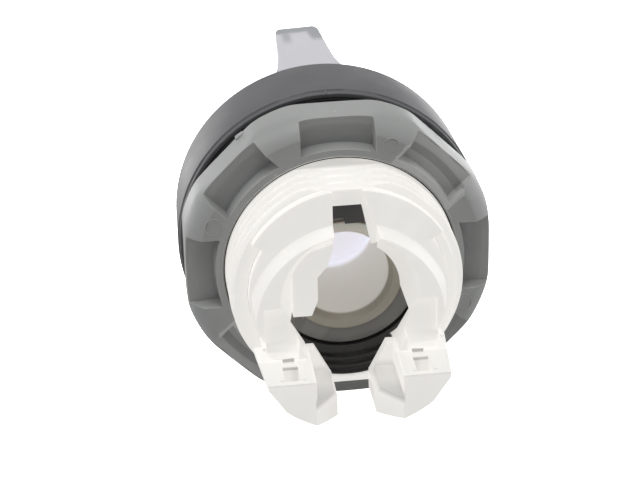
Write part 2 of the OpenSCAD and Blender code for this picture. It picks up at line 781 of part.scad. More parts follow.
// Outline of a leg across the axis, for the leg on the +X side
module leg_outline() {
    intersection() {
        circle(r = leg_r, $fn = 144);
        polygon([[plenty, -leg_top], [leg_gap + brow_w, -leg_top],
                 [leg_gap + 0.3 * brow_w, -leg_top - 0.7 * brow_h], [leg_gap, -leg_top - brow_h],
                 [leg_gap, -plenty], [leg_side - arch_w, -leg_r], [leg_side - arch_w, -leg_top - arch_h],
                 [leg_side - arch_w / 2, -leg_top - 0.7 * arch_h], [leg_side, -leg_top - crown_h],
                 [plenty, -leg_top - crown_h]]);
    }
}

// Leg on the +X side: block, finger, slope, pocket, window, slit and the two ribs beside the window
module leg() {
    x_slope = leg_gap + slope_w;
    y_win = lobe_rear + window_gap;
    difference() {
        union() {
            slab(leg_front, leg_rear) leg_outline();
            slab(finger_front, leg_front + 1)
                sector(finger_in_r, finger_out_r, finger_mid - finger_deg / 2, finger_mid + finger_deg / 2);
            for (side = [-1, 1])
                translate([window_x - rib_w / 2 + side * (window_w + rib_w + slide_gap) / 2, y_win, -leg_top - overlap])
                    cube([rib_w, window_len, rib_h + overlap]);
        }
        translate([leg_side, leg_rear, -plenty / 2]) rotate([0, 0, leg_taper]) translate([0, -plenty / 2, 0])
            cube([plenty, plenty, plenty]);
        translate([x_slope, leg_rear, 0]) rotate([0, 0, atan2(slope_len, slope_w)])
            translate([-plenty, 0, -plenty]) cube([plenty, plenty, plenty]);
        translate([-plenty, leg_front + 1.2, -leg_top - pocket_depth]) cube([plenty + x_slope - 0.05, plenty, plenty]);
        translate([window_x - window_w / 2, y_win, -leg_top - window_depth]) cube([window_w, window_len, plenty]);
        translate([window_x - slit_w / 2, lobe_rear - slit_len / 2, -leg_top - slit_w])
            cube([slit_w, slit_len, plenty]);
    }
}

// Leg at the lower left, seen from behind
module left_plunger() {
    color("#f5f3ed") leg();
}

// Leg at the lower right, seen from behind
module right_plunger() {
    color("#f5f3ed") mirror([1, 0, 0]) leg();
}

housing();
bezel_ring();
bezel_seal();
panel_gasket();
mounting_nut();
rear_cap();
guide_ring();
knob_shell();
knob_diffuser();
lens_cup();
rotor();
cam_ring();
knob_seal();
rotor_clip();
left_plunger();
right_plunger();
detent_ball(detent_angles[0]);  // left_detent_ball
detent_ball(detent_angles[1]);  // right_detent_ball
detent_spring(detent_angles[0]);  // left_detent_spring
detent_spring(detent_angles[1]);  // right_detent_spring
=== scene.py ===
"""Looks of an illuminated rotary selector switch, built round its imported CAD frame.

The handle faces -Y, the panel plane is at y = 0, and the photograph looks at the switch from behind.
Sizes in the classes are millimetres. Meshes are made in metres.
"""

import json
import logging
import math
from dataclasses import dataclass
from enum import Enum
from typing import Sequence

import bmesh
import bpy
import numpy as np
from mathutils import Matrix, Vector

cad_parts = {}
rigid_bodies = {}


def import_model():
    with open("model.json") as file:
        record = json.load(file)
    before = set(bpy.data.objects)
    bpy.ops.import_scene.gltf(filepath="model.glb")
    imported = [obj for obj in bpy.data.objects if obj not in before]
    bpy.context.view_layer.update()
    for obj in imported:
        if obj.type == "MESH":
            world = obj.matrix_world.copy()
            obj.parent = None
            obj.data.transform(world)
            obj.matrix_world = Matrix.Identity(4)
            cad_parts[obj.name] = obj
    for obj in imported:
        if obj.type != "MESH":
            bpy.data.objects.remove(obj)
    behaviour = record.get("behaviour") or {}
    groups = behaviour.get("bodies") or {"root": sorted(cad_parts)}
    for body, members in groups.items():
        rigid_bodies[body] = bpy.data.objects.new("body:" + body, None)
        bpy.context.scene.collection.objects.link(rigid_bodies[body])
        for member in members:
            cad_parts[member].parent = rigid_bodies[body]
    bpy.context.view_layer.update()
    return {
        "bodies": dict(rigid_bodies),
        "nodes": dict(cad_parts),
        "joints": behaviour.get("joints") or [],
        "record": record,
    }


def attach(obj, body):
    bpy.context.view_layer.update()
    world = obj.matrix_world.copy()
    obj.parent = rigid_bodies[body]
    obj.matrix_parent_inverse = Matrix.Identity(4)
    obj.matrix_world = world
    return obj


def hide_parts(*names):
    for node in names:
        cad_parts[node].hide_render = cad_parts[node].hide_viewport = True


MM = 0.001
FULL_TURN = 2.0 * math.pi
WHITE = (1.0, 1.0, 1.0)
BLACK = (0.0, 0.0, 0.0)
Colour = tuple[float, float, float]
Corner = tuple[float, float, float]
Point = tuple[float, float]
log = logging.getLogger("selector_switch")


class Side(Enum):
    """Side of the switch as it is seen from behind. The left one is +X."""

    LEFT = 1
    RIGHT = -1


class Value:
    """Output of a node, with the plain signs of arithmetic."""

    def __init__(self, sheet: "NodeSheet", socket: bpy.types.NodeSocket) -> None:
        """Keeps the output and the sheet it is on."""
        self.sheet = sheet
        self.socket = socket

    def other(self, output: str | int) -> "Value":
        """Another output of the same node."""
        return Value(self.sheet, self.socket.node.outputs[output])

    def __add__(self, other: object) -> "Value":
        """This and another value."""
        return self.sheet.calc("ADD", self, other)

    def __sub__(self, other: object) -> "Value":
        """This less another value."""
        return self.sheet.calc("SUBTRACT", self, other)

    def __rsub__(self, other: object) -> "Value":
        """A plain number less this."""
        return self.sheet.calc("SUBTRACT", other, self)

    def __mul__(self, other: object) -> "Value":
        """This times another value."""
        return self.sheet.calc("MULTIPLY", self, other)

    def __truediv__(self, other: object) -> "Value":
        """This divided by another value."""
        return self.sheet.calc("DIVIDE", self, other)

    def __abs__(self) -> "Value":
        """This without its sign."""
        return self.sheet.calc("ABSOLUTE", self)


class NodeSheet:
    """Short ways to wire one node tree."""

    def __init__(self, tree: bpy.types.NodeTree) -> None:
        """Keeps the tree that the nodes go into."""
        self.tree = tree

    def put(self, value: object, socket: bpy.types.NodeSocket) -> None:
        """Links a value to an input, or sets the input to a plain number, vector or colour.

        Args:
            value: the value, or the plain setting.
            socket: the input.
        """
        if isinstance(value, Value):
            self.tree.links.new(value.socket, socket)
        elif socket.type == "RGBA":
            socket.default_value = (*value, 1.0)
        else:
            socket.default_value = value

    def make(self, kind: str, inputs: dict, output: str | int = 0, **settings: object) -> Value:
        """Adds a node and fills its inputs.

        Args:
            kind: the type of node.
            inputs: values by the input's name or number.
            output: the output that is wanted.
            settings: attributes of the node and their values.

        Returns:
            The output.
        """
        node = self.tree.nodes.new(kind)
        for name, value in settings.items():
            setattr(node, name, value)
        for name, value in inputs.items():
            self.put(value, node.inputs[name])
        return Value(self, node.outputs[output])

    def calc(self, operation: str, *values: object, clamp: bool = False) -> Value:
        """Reckons with up to three values, and holds the result between 0 and 1 if asked."""
        return self.make("ShaderNodeMath", dict(enumerate(values)), operation=operation, use_clamp=clamp)

    def remap(
        self, value: object, low: object, high: object, to_low: float = 0.0, to_high: float = 1.0
    ) -> Value:
        """Maps a value smoothly from one range to another, and holds it there at both ends."""
        inputs = {"Value": value, "From Min": low, "From Max": high, "To Min": to_low, "To Max": to_high}
        return self.make("ShaderNodeMapRange", inputs, "Result", interpolation_type="SMOOTHSTEP")

    def noise(self, vector: object, scale: object, detail: float, roughness: float = 0.55) -> Value:
        """Grey noise over a vector."""
        inputs = {"Vector": vector, "Scale": scale, "Detail": detail, "Roughness": roughness}
        return self.make("ShaderNodeTexNoise", inputs, "Fac")

    def blend(self, share: object, first: object, second: object) -> Value:
        """Mixes two colours, with the share of the second one."""
        return self.make("ShaderNodeMix", {0: share, 6: first, 7: second}, 2, data_type="RGBA")

    def axes(self, vector: Value) -> tuple[Value, Value, Value]:
        """Splits a vector into X, Y and Z."""
        x = self.make("ShaderNodeSeparateXYZ", {0: vector})
        return x, x.other(1), x.other(2)


def open_tree(
    kind: str, name: str, inputs: dict[str, object], outputs: dict[str, str]
) -> tuple[NodeSheet, dict[str, Value], bpy.types.Node]:
    """Makes an empty node tree with named inputs and outputs.

    Args:
        kind: the type of tree.
        name: the tree's name.
        inputs: for each input its first number or colour, or the word for its type.
        outputs: the word for each output's type.

    Returns:
        The sheet to wire on, the tree's inputs by name and its output node.
    """
    tree = bpy.data.node_groups.new(name, kind)
    for label, first in inputs.items():
        word = {float: "Float", tuple: "Color"}.get(type(first), first)
        socket = tree.interface.new_socket(label, in_out="INPUT", socket_type="NodeSocket" + word)
        if word != first:
            socket.default_value = first
    for label, word in outputs.items():
        tree.interface.new_socket(label, in_out="OUTPUT", socket_type="NodeSocket" + word)
    sheet = NodeSheet(tree)
    entry = tree.nodes.new("NodeGroupInput")
    given = {socket.name: Value(sheet, socket) for socket in entry.outputs if socket.name}
    return sheet, given, tree.nodes.new("NodeGroupOutput")


class ShaderGroups:
    """The effects that several finishes share, each built once as a node group."""

    def __init__(self) -> None:
        """Builds the three groups."""
        self.grain = self._grain()
        self.tone = self._tone()
        self.specks = self._specks()

    @staticmethod
    def _grain() -> bpy.types.NodeTree:
        """Fine texture of a spark-eroded mould, with slow waves under it.

        Returns:
            The group.
        """
        sheet, given, end = open_tree(
            "ShaderNodeTree", "moulded_grain",
            {"Vector": "Vector", "Grain Scale": 4000.0, "Wave Scale": 220.0, "Wave Share": 0.5},
            {"Height": "Float", "Roughness Shift": "Float"})
        wave_height = 6.0
        fine = sheet.noise(given["Vector"], given["Grain Scale"], 2.0)
        slow = sheet.noise(given["Vector"], given["Wave Scale"], 2.0)
        sheet.put(fine + slow * given["Wave Share"] * wave_height, end.inputs["Height"])
        sheet.put(slow - 0.5, end.inputs["Roughness Shift"])
        return sheet.tree

    @staticmethod
    def _tone() -> bpy.types.NodeTree:
        """Cloudy change of tone, as in filled plastic, and a painted highlight: a lighter tone on edges.

        Returns:
            The group.
        """
        sheet, given, end = open_tree(
            "ShaderNodeTree", "plastic_tone",
            {"Vector": "Vector", "Color": (0.5, 0.5, 0.5, 1.0), "Cloud Scale": 300.0, "Cloud Amount": 0.1,
             "Edge Color": (0.7, 0.7, 0.7, 1.0), "Edge Amount": 0.2},
            {"Color": "Color"})
        finer, wide_share, contrast = 7.0, 0.7, 4.0
        flat_edge, highlight_edge = 0.52, 0.62
        wide = sheet.noise(given["Vector"], given["Cloud Scale"], 3.0)
        small = sheet.noise(given["Vector"], given["Cloud Scale"] * finer, 2.0)
        cloud = wide * wide_share + small * (1.0 - wide_share)
        factor = (cloud - 0.5) * given["Cloud Amount"] * contrast + 1.0
        scaled = sheet.make("ShaderNodeVectorMath", {0: given["Color"], "Scale": factor}, operation="SCALE")
        # Painted highlight: edges, found by their pointiness, lean towards the edge colour.
        point = sheet.make("ShaderNodeNewGeometry", {}, "Pointiness")
        edge = sheet.remap(point, flat_edge, highlight_edge) * given["Edge Amount"]
        sheet.put(sheet.blend(edge, scaled, given["Edge Color"]), end.inputs["Color"])
        return sheet.tree

    @staticmethod
    def _specks() -> bpy.types.NodeTree:
        """Sparse pale specks of dust and fine scuffs.

        Returns:
            The group.
        """
        sheet, given, end = open_tree(
            "ShaderNodeTree", "dust_specks",
            {"Vector": "Vector", "Color": (0.5, 0.5, 0.5, 1.0), "Speck Color": (0.8, 0.8, 0.78, 1.0),
             "Speck Scale": 500.0, "Speck Amount": 0.3, "Scuff Amount": 0.1},
            {"Color": "Color", "Mask": "Float"})
        bare_share, scuff_tilt, scuff_stretch = 0.86, (0.5, 0.9, 0.3), (1.0, 9.0, 1.0)
        speck_edge, scuff_edge, scuff_scale = (0.05, 0.13), (0.66, 0.8), 0.9
        place, scale = given["Vector"], given["Speck Scale"]
        far = sheet.make("ShaderNodeTexVoronoi", {"Vector": place, "Scale": scale}, "Distance", feature="F1")
        chance = sheet.make("ShaderNodeSeparateColor", {0: far.other("Color")})
        rare = sheet.calc("GREATER_THAN", chance, bare_share)
        speck = sheet.remap(far, *speck_edge, 1.0, 0.0) * rare * given["Speck Amount"]
        inputs = {"Vector": place, "Rotation": scuff_tilt, "Scale": scuff_stretch}
        streak = sheet.noise(sheet.make("ShaderNodeMapping", inputs), scale * scuff_scale, 3.0, 0.7)
        mask = sheet.calc("MAXIMUM", speck, sheet.remap(streak, *scuff_edge) * given["Scuff Amount"])
        sheet.put(mask, end.inputs["Mask"])
        sheet.put(sheet.blend(mask, given["Color"], given["Speck Color"]), end.inputs["Color"])
        return sheet.tree


class MaterialSheet(NodeSheet):
    """Sheet of a new material that starts with one Principled shader."""

    def __init__(self, name: str) -> None:
        """Makes the material, its shader, its output and its Object coordinates.

        Args:
            name: the material's name.
        """
        self.material = bpy.data.materials.new(name)
        self.material.use_nodes = True
        self.material.node_tree.nodes.clear()
        super().__init__(self.material.node_tree)
        self.shader = self.make("ShaderNodeBsdfPrincipled", {}, "BSDF")
        self.surface = self.tree.nodes.new("ShaderNodeOutputMaterial").inputs["Surface"]
        self.put(self.shader, self.surface)
        self.place = self.make("ShaderNodeTexCoord", {}, "Object")

    def set(self, **values: object) -> None:
        """Fills the shader's inputs, named with an underscore in place of each space."""
        for name, value in values.items():
            self.put(value, self.shader.socket.node.inputs[name.replace("_", " ")])

    def group(self, tree: bpy.types.NodeTree, output: str, **values: object) -> Value:
        """Places a shared group at the surface's own place, with its inputs named in the same way."""
        inputs = {name.replace("_", " "): value for name, value in values.items()}
        return self.make("ShaderNodeGroup", {"Vector": self.place, **inputs}, output, node_tree=tree)


@dataclass(frozen=True)
class Finish:
    """What every finish has: a name, a cloudy colour with a painted highlight on edges, a roughness and a
    fine grain.
    """

    name: str
    colour: Colour
    roughness: float = 0.45
    unevenness: float = 0.25
    grain_scale: float = 4200.0
    grain_depth: float = 0.004
    wave_share: float = 0.5
    cloud: float = 0.05
    cloud_scale: float = 260.0
    # Painted highlight: the lighter colour on sharp edges and its share.
    edge_colour: Colour = (0.7, 0.7, 0.7)
    edge: float = 0.15

    def _colour_at(self, sheet: MaterialSheet) -> object:
        """The plain colour, or a value that changes from place to place."""
        return self.colour

    def _worn(self, sheet: MaterialSheet, groups: ShaderGroups, tone: Value) -> tuple[Value, object]:
        """The tone with its dust, and the roughness that the dust adds."""
        return tone, 0.0

    def _settings(self, sheet: MaterialSheet, tone: Value) -> dict[str, object]:
        """What else the shader is set to, by its inputs' names."""
        return {}

    def material(self, groups: ShaderGroups) -> bpy.types.Material:
        """Builds the material.

        Args:
            groups: the shared node groups.

        Returns:
            The new material.
        """
        sheet = MaterialSheet(self.name)
        tone = sheet.group(groups.tone, "Color", Color=self._colour_at(sheet), Cloud_Scale=self.cloud_scale,
                           Cloud_Amount=self.cloud, Edge_Color=self.edge_colour, Edge_Amount=self.edge)
        colour, worn = self._worn(sheet, groups, tone)
        shift = sheet.group(groups.grain, "Roughness Shift", Grain_Scale=self.grain_scale,
                            Wave_Share=self.wave_share)
        rough = sheet.calc("ADD", shift * self.unevenness + self.roughness, worn, clamp=True)
        inputs = {"Distance": self.grain_depth * MM, "Height": shift.other("Height")}
        sheet.set(Base_Color=colour, Roughness=rough, Normal=sheet.make("ShaderNodeBump", inputs, "Normal"))
        sheet.set(**self._settings(sheet, tone))
        return sheet.material


@dataclass(frozen=True)
class MouldedPlastic(Finish):
    """Opaque moulded plastic with dust and scuffs on it."""

    speck: float = 0.2
    scuff: float = 0.05
    speck_colour: Colour = (0.75, 0.75, 0.72)
    dust_rough: float = 0.3
    scatter: float = 0.0
    scatter_depth: float = 0.8
    scatter_tint: Colour = (1.0, 0.9, 0.75)
    # Painted glow: emission of the plastic's own tone that lifts its shade, though it is no lamp.
    glow: float = 0.0
    gloss: float = 0.5

    def _worn(self, sheet: MaterialSheet, groups: ShaderGroups, tone: Value) -> tuple[Value, object]:
        """Lays dust and scuffs over the tone.

        Args:
            sheet: the material's sheet.
            groups: the shared node groups.
            tone: the clean colour.

        Returns:
            The dusty colour and the roughness that the dust adds.
        """
        dust = sheet.group(groups.specks, "Color", Color=tone, Speck_Color=self.speck_colour,
                           Speck_Amount=self.speck, Scuff_Amount=self.scuff)
        return dust, dust.other("Mask") * self.dust_rough

    def _settings(self, sheet: MaterialSheet, tone: Value) -> dict[str, object]:
        """Gloss, the light that some plastics scatter, and a painted glow that lifts their shade.

        Args:
            sheet: the material's sheet, which is not used here.
            tone: the colour before the dust.

        Returns:
            The settings by the inputs' names.
        """
        settings = {"Specular_IOR_Level": self.gloss}
        if self.scatter > 0:
            settings.update(Subsurface_Weight=self.scatter, Subsurface_Scale=self.scatter_depth * MM,
                            Subsurface_Radius=self.scatter_tint)
        # Painted light: the plastic glows in its own tone.
        if self.glow > 0:
            settings.update(Emission_Color=tone, Emission_Strength=self.glow)
        return settings


@dataclass(frozen=True)
class PaintedShadeBox:
    """Box in millimetres of painted shade, in which a finish is darker, the same on both sides of the middle
    plane.
    """

    low: Corner
    high: Corner
    soft: Corner
    dark: float

    def left_over(self, axes: Sequence[Value]) -> Value:
        """Share of the colour that is left at a place.

        Args:
            axes: the place's distance from the middle plane, and its Y and Z, in millimetres.

        Returns:
            1 outside the box, and less inside.
        """
        share = self.dark
        for value, low, high, soft in zip(axes, self.low, self.high, self.soft):
            into = value.sheet.remap(value, low - soft, low + soft)
            out_of = value.sheet.remap(value, high - soft, high + soft, 1.0, 0.0)
            share = into * out_of * share
        return 1.0 - share


@dataclass(frozen=True)
class LegPlasticWithPaintedShade(MouldedPlastic):
    """Moulded plastic of the legs with painted shade: darker in the pocket, the window and the slit, and on
    the tops of the legs.
    """

    # Painted shade: the pocket twice, the window twice, a line at the window's top, the slit's front wall and
    # the top of the leg.
    recesses: tuple[PaintedShadeBox, ...] = (
        PaintedShadeBox((-1.0, 12.4, -7.9), (4.0, 19.5, -7.1), (0.1, 0.3, 0.4), 0.24),
        PaintedShadeBox((-1.0, 16.0, -7.9), (4.0, 21.0, -7.1), (0.1, 1.5, 0.4), 0.2),
        PaintedShadeBox((5.0, 15.3, -9.0), (5.8, 18.2, -5.38), (0.3, 0.1, 0.08), 0.13),
        PaintedShadeBox((5.0, 15.3, -9.0), (6.9, 18.2, -5.38), (0.1, 0.1, 0.08), 0.07),
        PaintedShadeBox((5.0, 15.2, -5.62), (6.9, 15.55, -5.36), (0.1, 0.1, 0.06), 0.35),
        PaintedShadeBox((5.2, 13.5, -5.75), (6.7, 13.8, -5.36), (0.1, 0.1, 0.06), 0.45),
        PaintedShadeBox((4.0, 14.4, -5.4), (12.0, 19.5, -4.0), (0.3, 0.3, 0.1), 0.12),
    )

    def _colour_at(self, sheet: MaterialSheet) -> object:
        """The colour with the boxes' painted shade.

        Args:
            sheet: the material's sheet.

        Returns:
            The colour at each place.
        """
        x, y, z = sheet.axes(sheet.place)
        axes = [abs(x) / MM, y / MM, z / MM]
        share = 1.0
        for shade_box in self.recesses:
            share = shade_box.left_over(axes) * share
        return sheet.blend(share, BLACK, self.colour)


@dataclass(frozen=True)
class ClearPlastic(Finish):
    """Frosted clear plastic over a white insert, with painted shade where the insert ends below it."""

    unevenness: float = 0.3
    grain_scale: float = 3000.0
    wave_share: float = 0.8
    cloud: float = 0.015
    cloud_scale: float = 180.0
    edge: float = 0.0
    # Painted shade: the colour of the band, the streak and the patch.
    dark: Colour = (0.295, 0.31, 0.33)
    clear: float = 0.25
    refraction: float = 1.49
    front_y: float = -24.2
    lean_deg: float = 2.4
    waver: float = 0.5
    waver_scale: float = 900.0
    band: float = 0.8
    band_depth: Point = (2.1, 2.9)
    streak: float = 0.6
    streak_x: float = 1.25
    streak_half: Point = (0.05, 0.75)
    streak_depth: Point = (4.0, 6.2)
    patch: float = 0.8
    patch_slope: float = 0.14
    patch_start: Point = (0.3, 0.9)
    patch_depth: Point = (4.0, 5.8)
    ends_z: Point = (11.9, 12.6)

    def _colour_at(self, sheet: MaterialSheet) -> object:
        """The colour with painted shade at the handle's ends: a darker band along the front edge, a streak
        and a patch.

        Args:
            sheet: the material's sheet.

        Returns:
            The colour at each place.
        """
        x, y, z = (axis / MM for axis in sheet.axes(sheet.place))
        across = x - z * math.tan(math.radians(self.lean_deg))
        waver = (sheet.noise(sheet.place, self.waver_scale, 2.0) - 0.5) * self.waver
        depth = y - self.front_y + waver
        # Painted shade: band, streak and patch, kept to the handle's ends.
        band = sheet.remap(depth, *self.band_depth, self.band, 0.0)
        streak = sheet.remap(abs(across - self.streak_x), *self.streak_half, 1.0, 0.0)
        streak = streak * sheet.remap(depth, *self.streak_depth, self.streak, 0.0)
        patch = sheet.remap(across * -1.0 - depth * self.patch_slope, *self.patch_start)
        patch = patch * sheet.remap(depth, *self.patch_depth, self.patch, 0.0)
        share = sheet.calc("MAXIMUM", sheet.calc("MAXIMUM", band, streak), patch)
        share = sheet.calc("MULTIPLY", share, sheet.remap(abs(z), *self.ends_z), clamp=True)
        return sheet.blend(share, self.colour, self.dark)

    def _settings(self, sheet: MaterialSheet, tone: Value) -> dict[str, object]:
        """How clear the plastic is and how much it bends light."""
        return {"Transmission_Weight": self.clear, "IOR": self.refraction}


@dataclass(frozen=True)
class MilkyPlastic(Finish):
    """Milky light guide plastic: beige at its rear lip with a painted highlight at the lip's top, pale violet
    at its front end, and a painted glow.
    """

    roughness: float = 0.4
    unevenness: float = 0.2
    grain_scale: float = 2600.0
    wave_share: float = 0.6
    cloud: float = 0.03
    cloud_scale: float = 200.0
    edge: float = 0.0
    front_colour: Colour = (0.80, 0.80, 0.88)
    wall_y: Point = (-2.9, -1.4)
    lip_colour: Colour = (0.40, 0.375, 0.315)
    lip_y: Point = (7.45, 7.95)
    # Painted highlight: the lip's top is paler.
    lip_top: Colour = (0.78, 0.76, 0.68)
    lip_top_z: Point = (2.8, 4.0)
    # Painted glow: emission that stands in for light coming through the plastic.
    front_glow: float = 0.5
    rear_glow: float = 0.15
    scatter: float = 0.25
    scatter_depth: float = 1.0

    def _by_place(self, sheet: MaterialSheet, front: Colour, wall: Colour, lip: object) -> Value:
        """Gives the front end, the wall and the lip their colours.

        Args:
            sheet: the material's sheet.
            front: colour of the front end.
            wall: colour of the wall.
            lip: colour of the lip.

        Returns:
            The colour at each place.
        """
        y = sheet.axes(sheet.place)[1] / MM
        rear = sheet.blend(sheet.remap(y, *self.lip_y), wall, lip)
        return sheet.blend(sheet.remap(y, *self.wall_y), front, rear)

    def _colour_at(self, sheet: MaterialSheet) -> object:
        """The colour, with a painted highlight that makes the lip paler at its top.

        Args:
            sheet: the material's sheet.

        Returns:
            The colour at each place.
        """
        highlight_share = sheet.remap(sheet.axes(sheet.place)[2] / MM, *self.lip_top_z)
        lip = sheet.blend(highlight_share, self.lip_colour, self.lip_top)
        return self._by_place(sheet, self.front_colour, self.colour, lip)

    def _settings(self, sheet: MaterialSheet, tone: Value) -> dict[str, object]:
        """Painted glow that stands in for the light that comes through the plastic, stronger at its front
        end.

        Args:
            sheet: the material's sheet.
            tone: the colour, which this finish doesn't need here.

        Returns:
            The settings by the inputs' names.
        """
        # Painted light: the front end and the wall glow in their own colours.
        front = tuple(c * self.front_glow for c in self.front_colour)
        wall = tuple(c * self.rear_glow for c in self.colour)
        return {"Emission_Color": self._by_place(sheet, front, wall, BLACK), "Emission_Strength": 1.0,
                "Subsurface_Weight": self.scatter, "Subsurface_Scale": self.scatter_depth * MM}


@dataclass(frozen=True)
class SpringSteel(Finish):
    """Bright drawn or rolled steel."""

    roughness: float = 0.28
    unevenness: float = 0.3
    grain_scale: float = 6000.0
    grain_depth: float = 0.001
    wave_share: float = 0.1
    cloud: float = 0.08
    cloud_scale: float = 900.0
    edge_colour: Colour = (0.8, 0.8, 0.8)
    edge: float = 0.2

    def _settings(self, sheet: MaterialSheet, tone: Value) -> dict[str, object]:
        """It is bare metal all over."""
        return {"Metallic": 1.0}


# The sleeve, the cap and the legs are one white plastic, whose glow is painted light that lifts its shade.
# The legs' finish only adds its boxes of painted shade.
WARM_WHITE = dict(
    colour=(0.42, 0.412, 0.395), roughness=0.42, grain_depth=0.002, cloud=0.008, edge_colour=(0.5, 0.5, 0.48),
    edge=0.1, speck=0.06, scuff=0.02, speck_colour=(0.5, 0.48, 0.42), scatter=0.15, glow=1.24)


@dataclass(frozen=True)
class FinishSet:
    """Every finish of the switch, by the record's slot name, and the legs' own one with painted shade."""

    black_plastic: MouldedPlastic = MouldedPlastic(
        "satin_black", (0.093, 0.093, 0.098), roughness=0.5, cloud=0.035, edge_colour=(0.3, 0.3, 0.3),
        edge=0.2, speck=0.9, scuff=0.3, speck_colour=(0.5, 0.47, 0.44))
    dark_plastic: MouldedPlastic = MouldedPlastic(
        "glossy_black", (0.022, 0.021, 0.020), roughness=0.27, grain_depth=0.0015, wave_share=0.9, cloud=0.02,
        edge_colour=(0.1, 0.1, 0.1), edge=0.3, speck=0.25, scuff=0.05, speck_colour=(0.35, 0.34, 0.33))
    rotor_plastic: MouldedPlastic = MouldedPlastic(
        "rotor_grey", (0.19, 0.185, 0.173), roughness=0.5, cloud=0.06, edge=0.1, speck=0.15)
    # The nut's large edge share gives a painted highlight on its creases.
    grey_plastic: MouldedPlastic = MouldedPlastic(
        "nut_grey", (0.295, 0.302, 0.296), roughness=0.42, cloud=0.03, cloud_scale=340.0,
        edge_colour=(0.6, 0.6, 0.59), edge=0.45, speck=0.35, scuff=0.05, speck_colour=(0.6, 0.6, 0.58))
    white_plastic: MouldedPlastic = MouldedPlastic("warm_white", **WARM_WHITE)
    # The legs' white plastic with boxes of painted shade.
    leg_plastic: LegPlasticWithPaintedShade = LegPlasticWithPaintedShade("leg_white", **WARM_WHITE)
    insert_white: MouldedPlastic = MouldedPlastic(
        "insert_white", (0.74, 0.735, 0.78), roughness=0.5, cloud=0.012, edge=0.1, speck=0.0, scuff=0.0,
        scatter=0.3)
    rubber: MouldedPlastic = MouldedPlastic(
        "seal_rubber", (0.012, 0.012, 0.012), roughness=0.7, grain_depth=0.008, cloud=0.08, edge=0.0,
        speck=0.3, scuff=0.1, gloss=0.15, speck_colour=(0.2, 0.2, 0.19))
    clear_plastic: ClearPlastic = ClearPlastic("frosted_clear", (0.70, 0.695, 0.735))
    lens_plastic: MilkyPlastic = MilkyPlastic("milky_lens", (0.70, 0.68, 0.63))
    steel: SpringSteel = SpringSteel("spring_steel", (0.6, 0.61, 0.62))

    def build(self) -> dict[str, bpy.types.Material]:
        """Builds all materials and gives them by slot name."""
        groups = ShaderGroups()
        return {slot: getattr(self, slot).material(groups) for slot in self.__dataclass_fields__}


def add_object(name: str, data: bpy.types.ID) -> bpy.types.Object:
    """Puts a mesh, a camera or a lamp into the scene at the origin.

    Args:
        name: the object's name.
        data: what it shows.

    Returns:
        The new object.
    """
    piece = bpy.data.objects.new(name, data)
    bpy.context.scene.collection.objects.link(piece)
    return piece


def shade(mesh: bpy.types.Mesh, crease_deg: float) -> None:
    """Shades a mesh smooth, but for edges sharper than an angle."""
    mesh.shade_smooth()
    mesh.set_sharp_from_angle(angle=math.radians(crease_deg))


def dress(piece: bpy.types.Object, material: bpy.types.Material) -> None:
    """Gives a piece one material."""
    piece.data.materials.clear()
    piece.data.materials.append(material)


def about_axis(turn_deg: float) -> Matrix:
    """Turn about the switch's axis, to the left as seen from behind."""
    return Matrix.Rotation(math.radians(turn_deg), 4, "Y")


def moved_to(place: Corner) -> Matrix:
    """Move to a place in millimetres."""
    return Matrix.Translation(Vector(place) * MM)


def curve(start: Point, bend: Point, stop: Point, steps: int) -> list[Point]:
    """Draws a curve that leaves and arrives along the lines to one bend.

    Args:
        start: its first point.
        bend: the point that pulls it.
        stop: its last point.
        steps: pieces of the curve.

    Returns:
        The curve's points.
    """
    first, middle, last = (np.array(point) for point in (start, bend, stop))
    share = np.linspace(0.0, 1.0, steps + 1)[:, None]
    points = (1 - share) ** 2 * first + 2 * share * (1 - share) * middle + share ** 2 * last
    return [tuple(point) for point in points.tolist()]


def filleted(corners: Sequence[Corner], steps: int = 5) -> list[Point]:
    """Rounds the corners of a closed outline.

    Args:
        corners: radius from the axis, place along it and rounding of each corner.
        steps: pieces in each rounding.

    Returns:
        The outline's points as radius and place.
    """
    out = []
    longest = 0.48
    for i, (r, y, rounding) in enumerate(corners):
        if rounding <= 0:
            out.append((r, y))
            continue
        here = Vector((r, y))
        back = Vector(corners[i - 1][:2]) - here
        ahead = Vector(corners[(i + 1) % len(corners)][:2]) - here
        reach = rounding / math.tan(back.angle(ahead) / 2)
        reach = min(reach, back.length * longest, ahead.length * longest)
        start = here + back.normalized() * reach
        stop = here + ahead.normalized() * reach
        out += curve(start[:], (r, y), stop[:], steps)
    return out


def turned(outline: Sequence[Point], angle: np.ndarray) -> np.ndarray:
    """Turns an outline about the switch's axis.

    Args:
        outline: points as radius and place along the axis.
        angle: the angles, from twelve o'clock to the left as seen from behind.

    Returns:
        Points in millimetres, by angle and then along the outline.
    """
    r, y = np.array(outline).T
    angle = angle[:, None]
    return np.stack([r * np.sin(angle), y + 0 * angle, r * np.cos(angle)], -1)


def grid_piece(name: str, grid: np.ndarray, crease_deg: float = 32.0) -> bpy.types.Object:
    """Makes a closed skin from a grid of points that closes both ways.

    Args:
        name: the piece's name.
        grid: points in millimetres, round the axis and then along the outline.
        crease_deg: edges sharper than this stay crisp.

    Returns:
        The new piece.
    """
    across, along, _ = grid.shape
    rows = np.arange(across)[:, None] * along
    cols = np.arange(along)[None, :]
    next_rows = np.roll(rows, -1, 0)
    next_cols = np.roll(cols, -1, 1)
    quads = np.stack([rows + cols, next_rows + cols, next_rows + next_cols, rows + next_cols], -1)
    mesh = bpy.data.meshes.new(name)
    mesh.from_pydata((grid.reshape(-1, 3) * MM).tolist(), [], quads.reshape(-1, 4).tolist())
    model = bmesh.new()
    model.from_mesh(mesh)
    bmesh.ops.remove_doubles(model, verts=model.verts, dist=1e-7)
    bmesh.ops.recalc_face_normals(model, faces=model.faces)
    model.to_mesh(mesh)
    model.free()
    shade(mesh, crease_deg)
    return add_object(name, mesh)


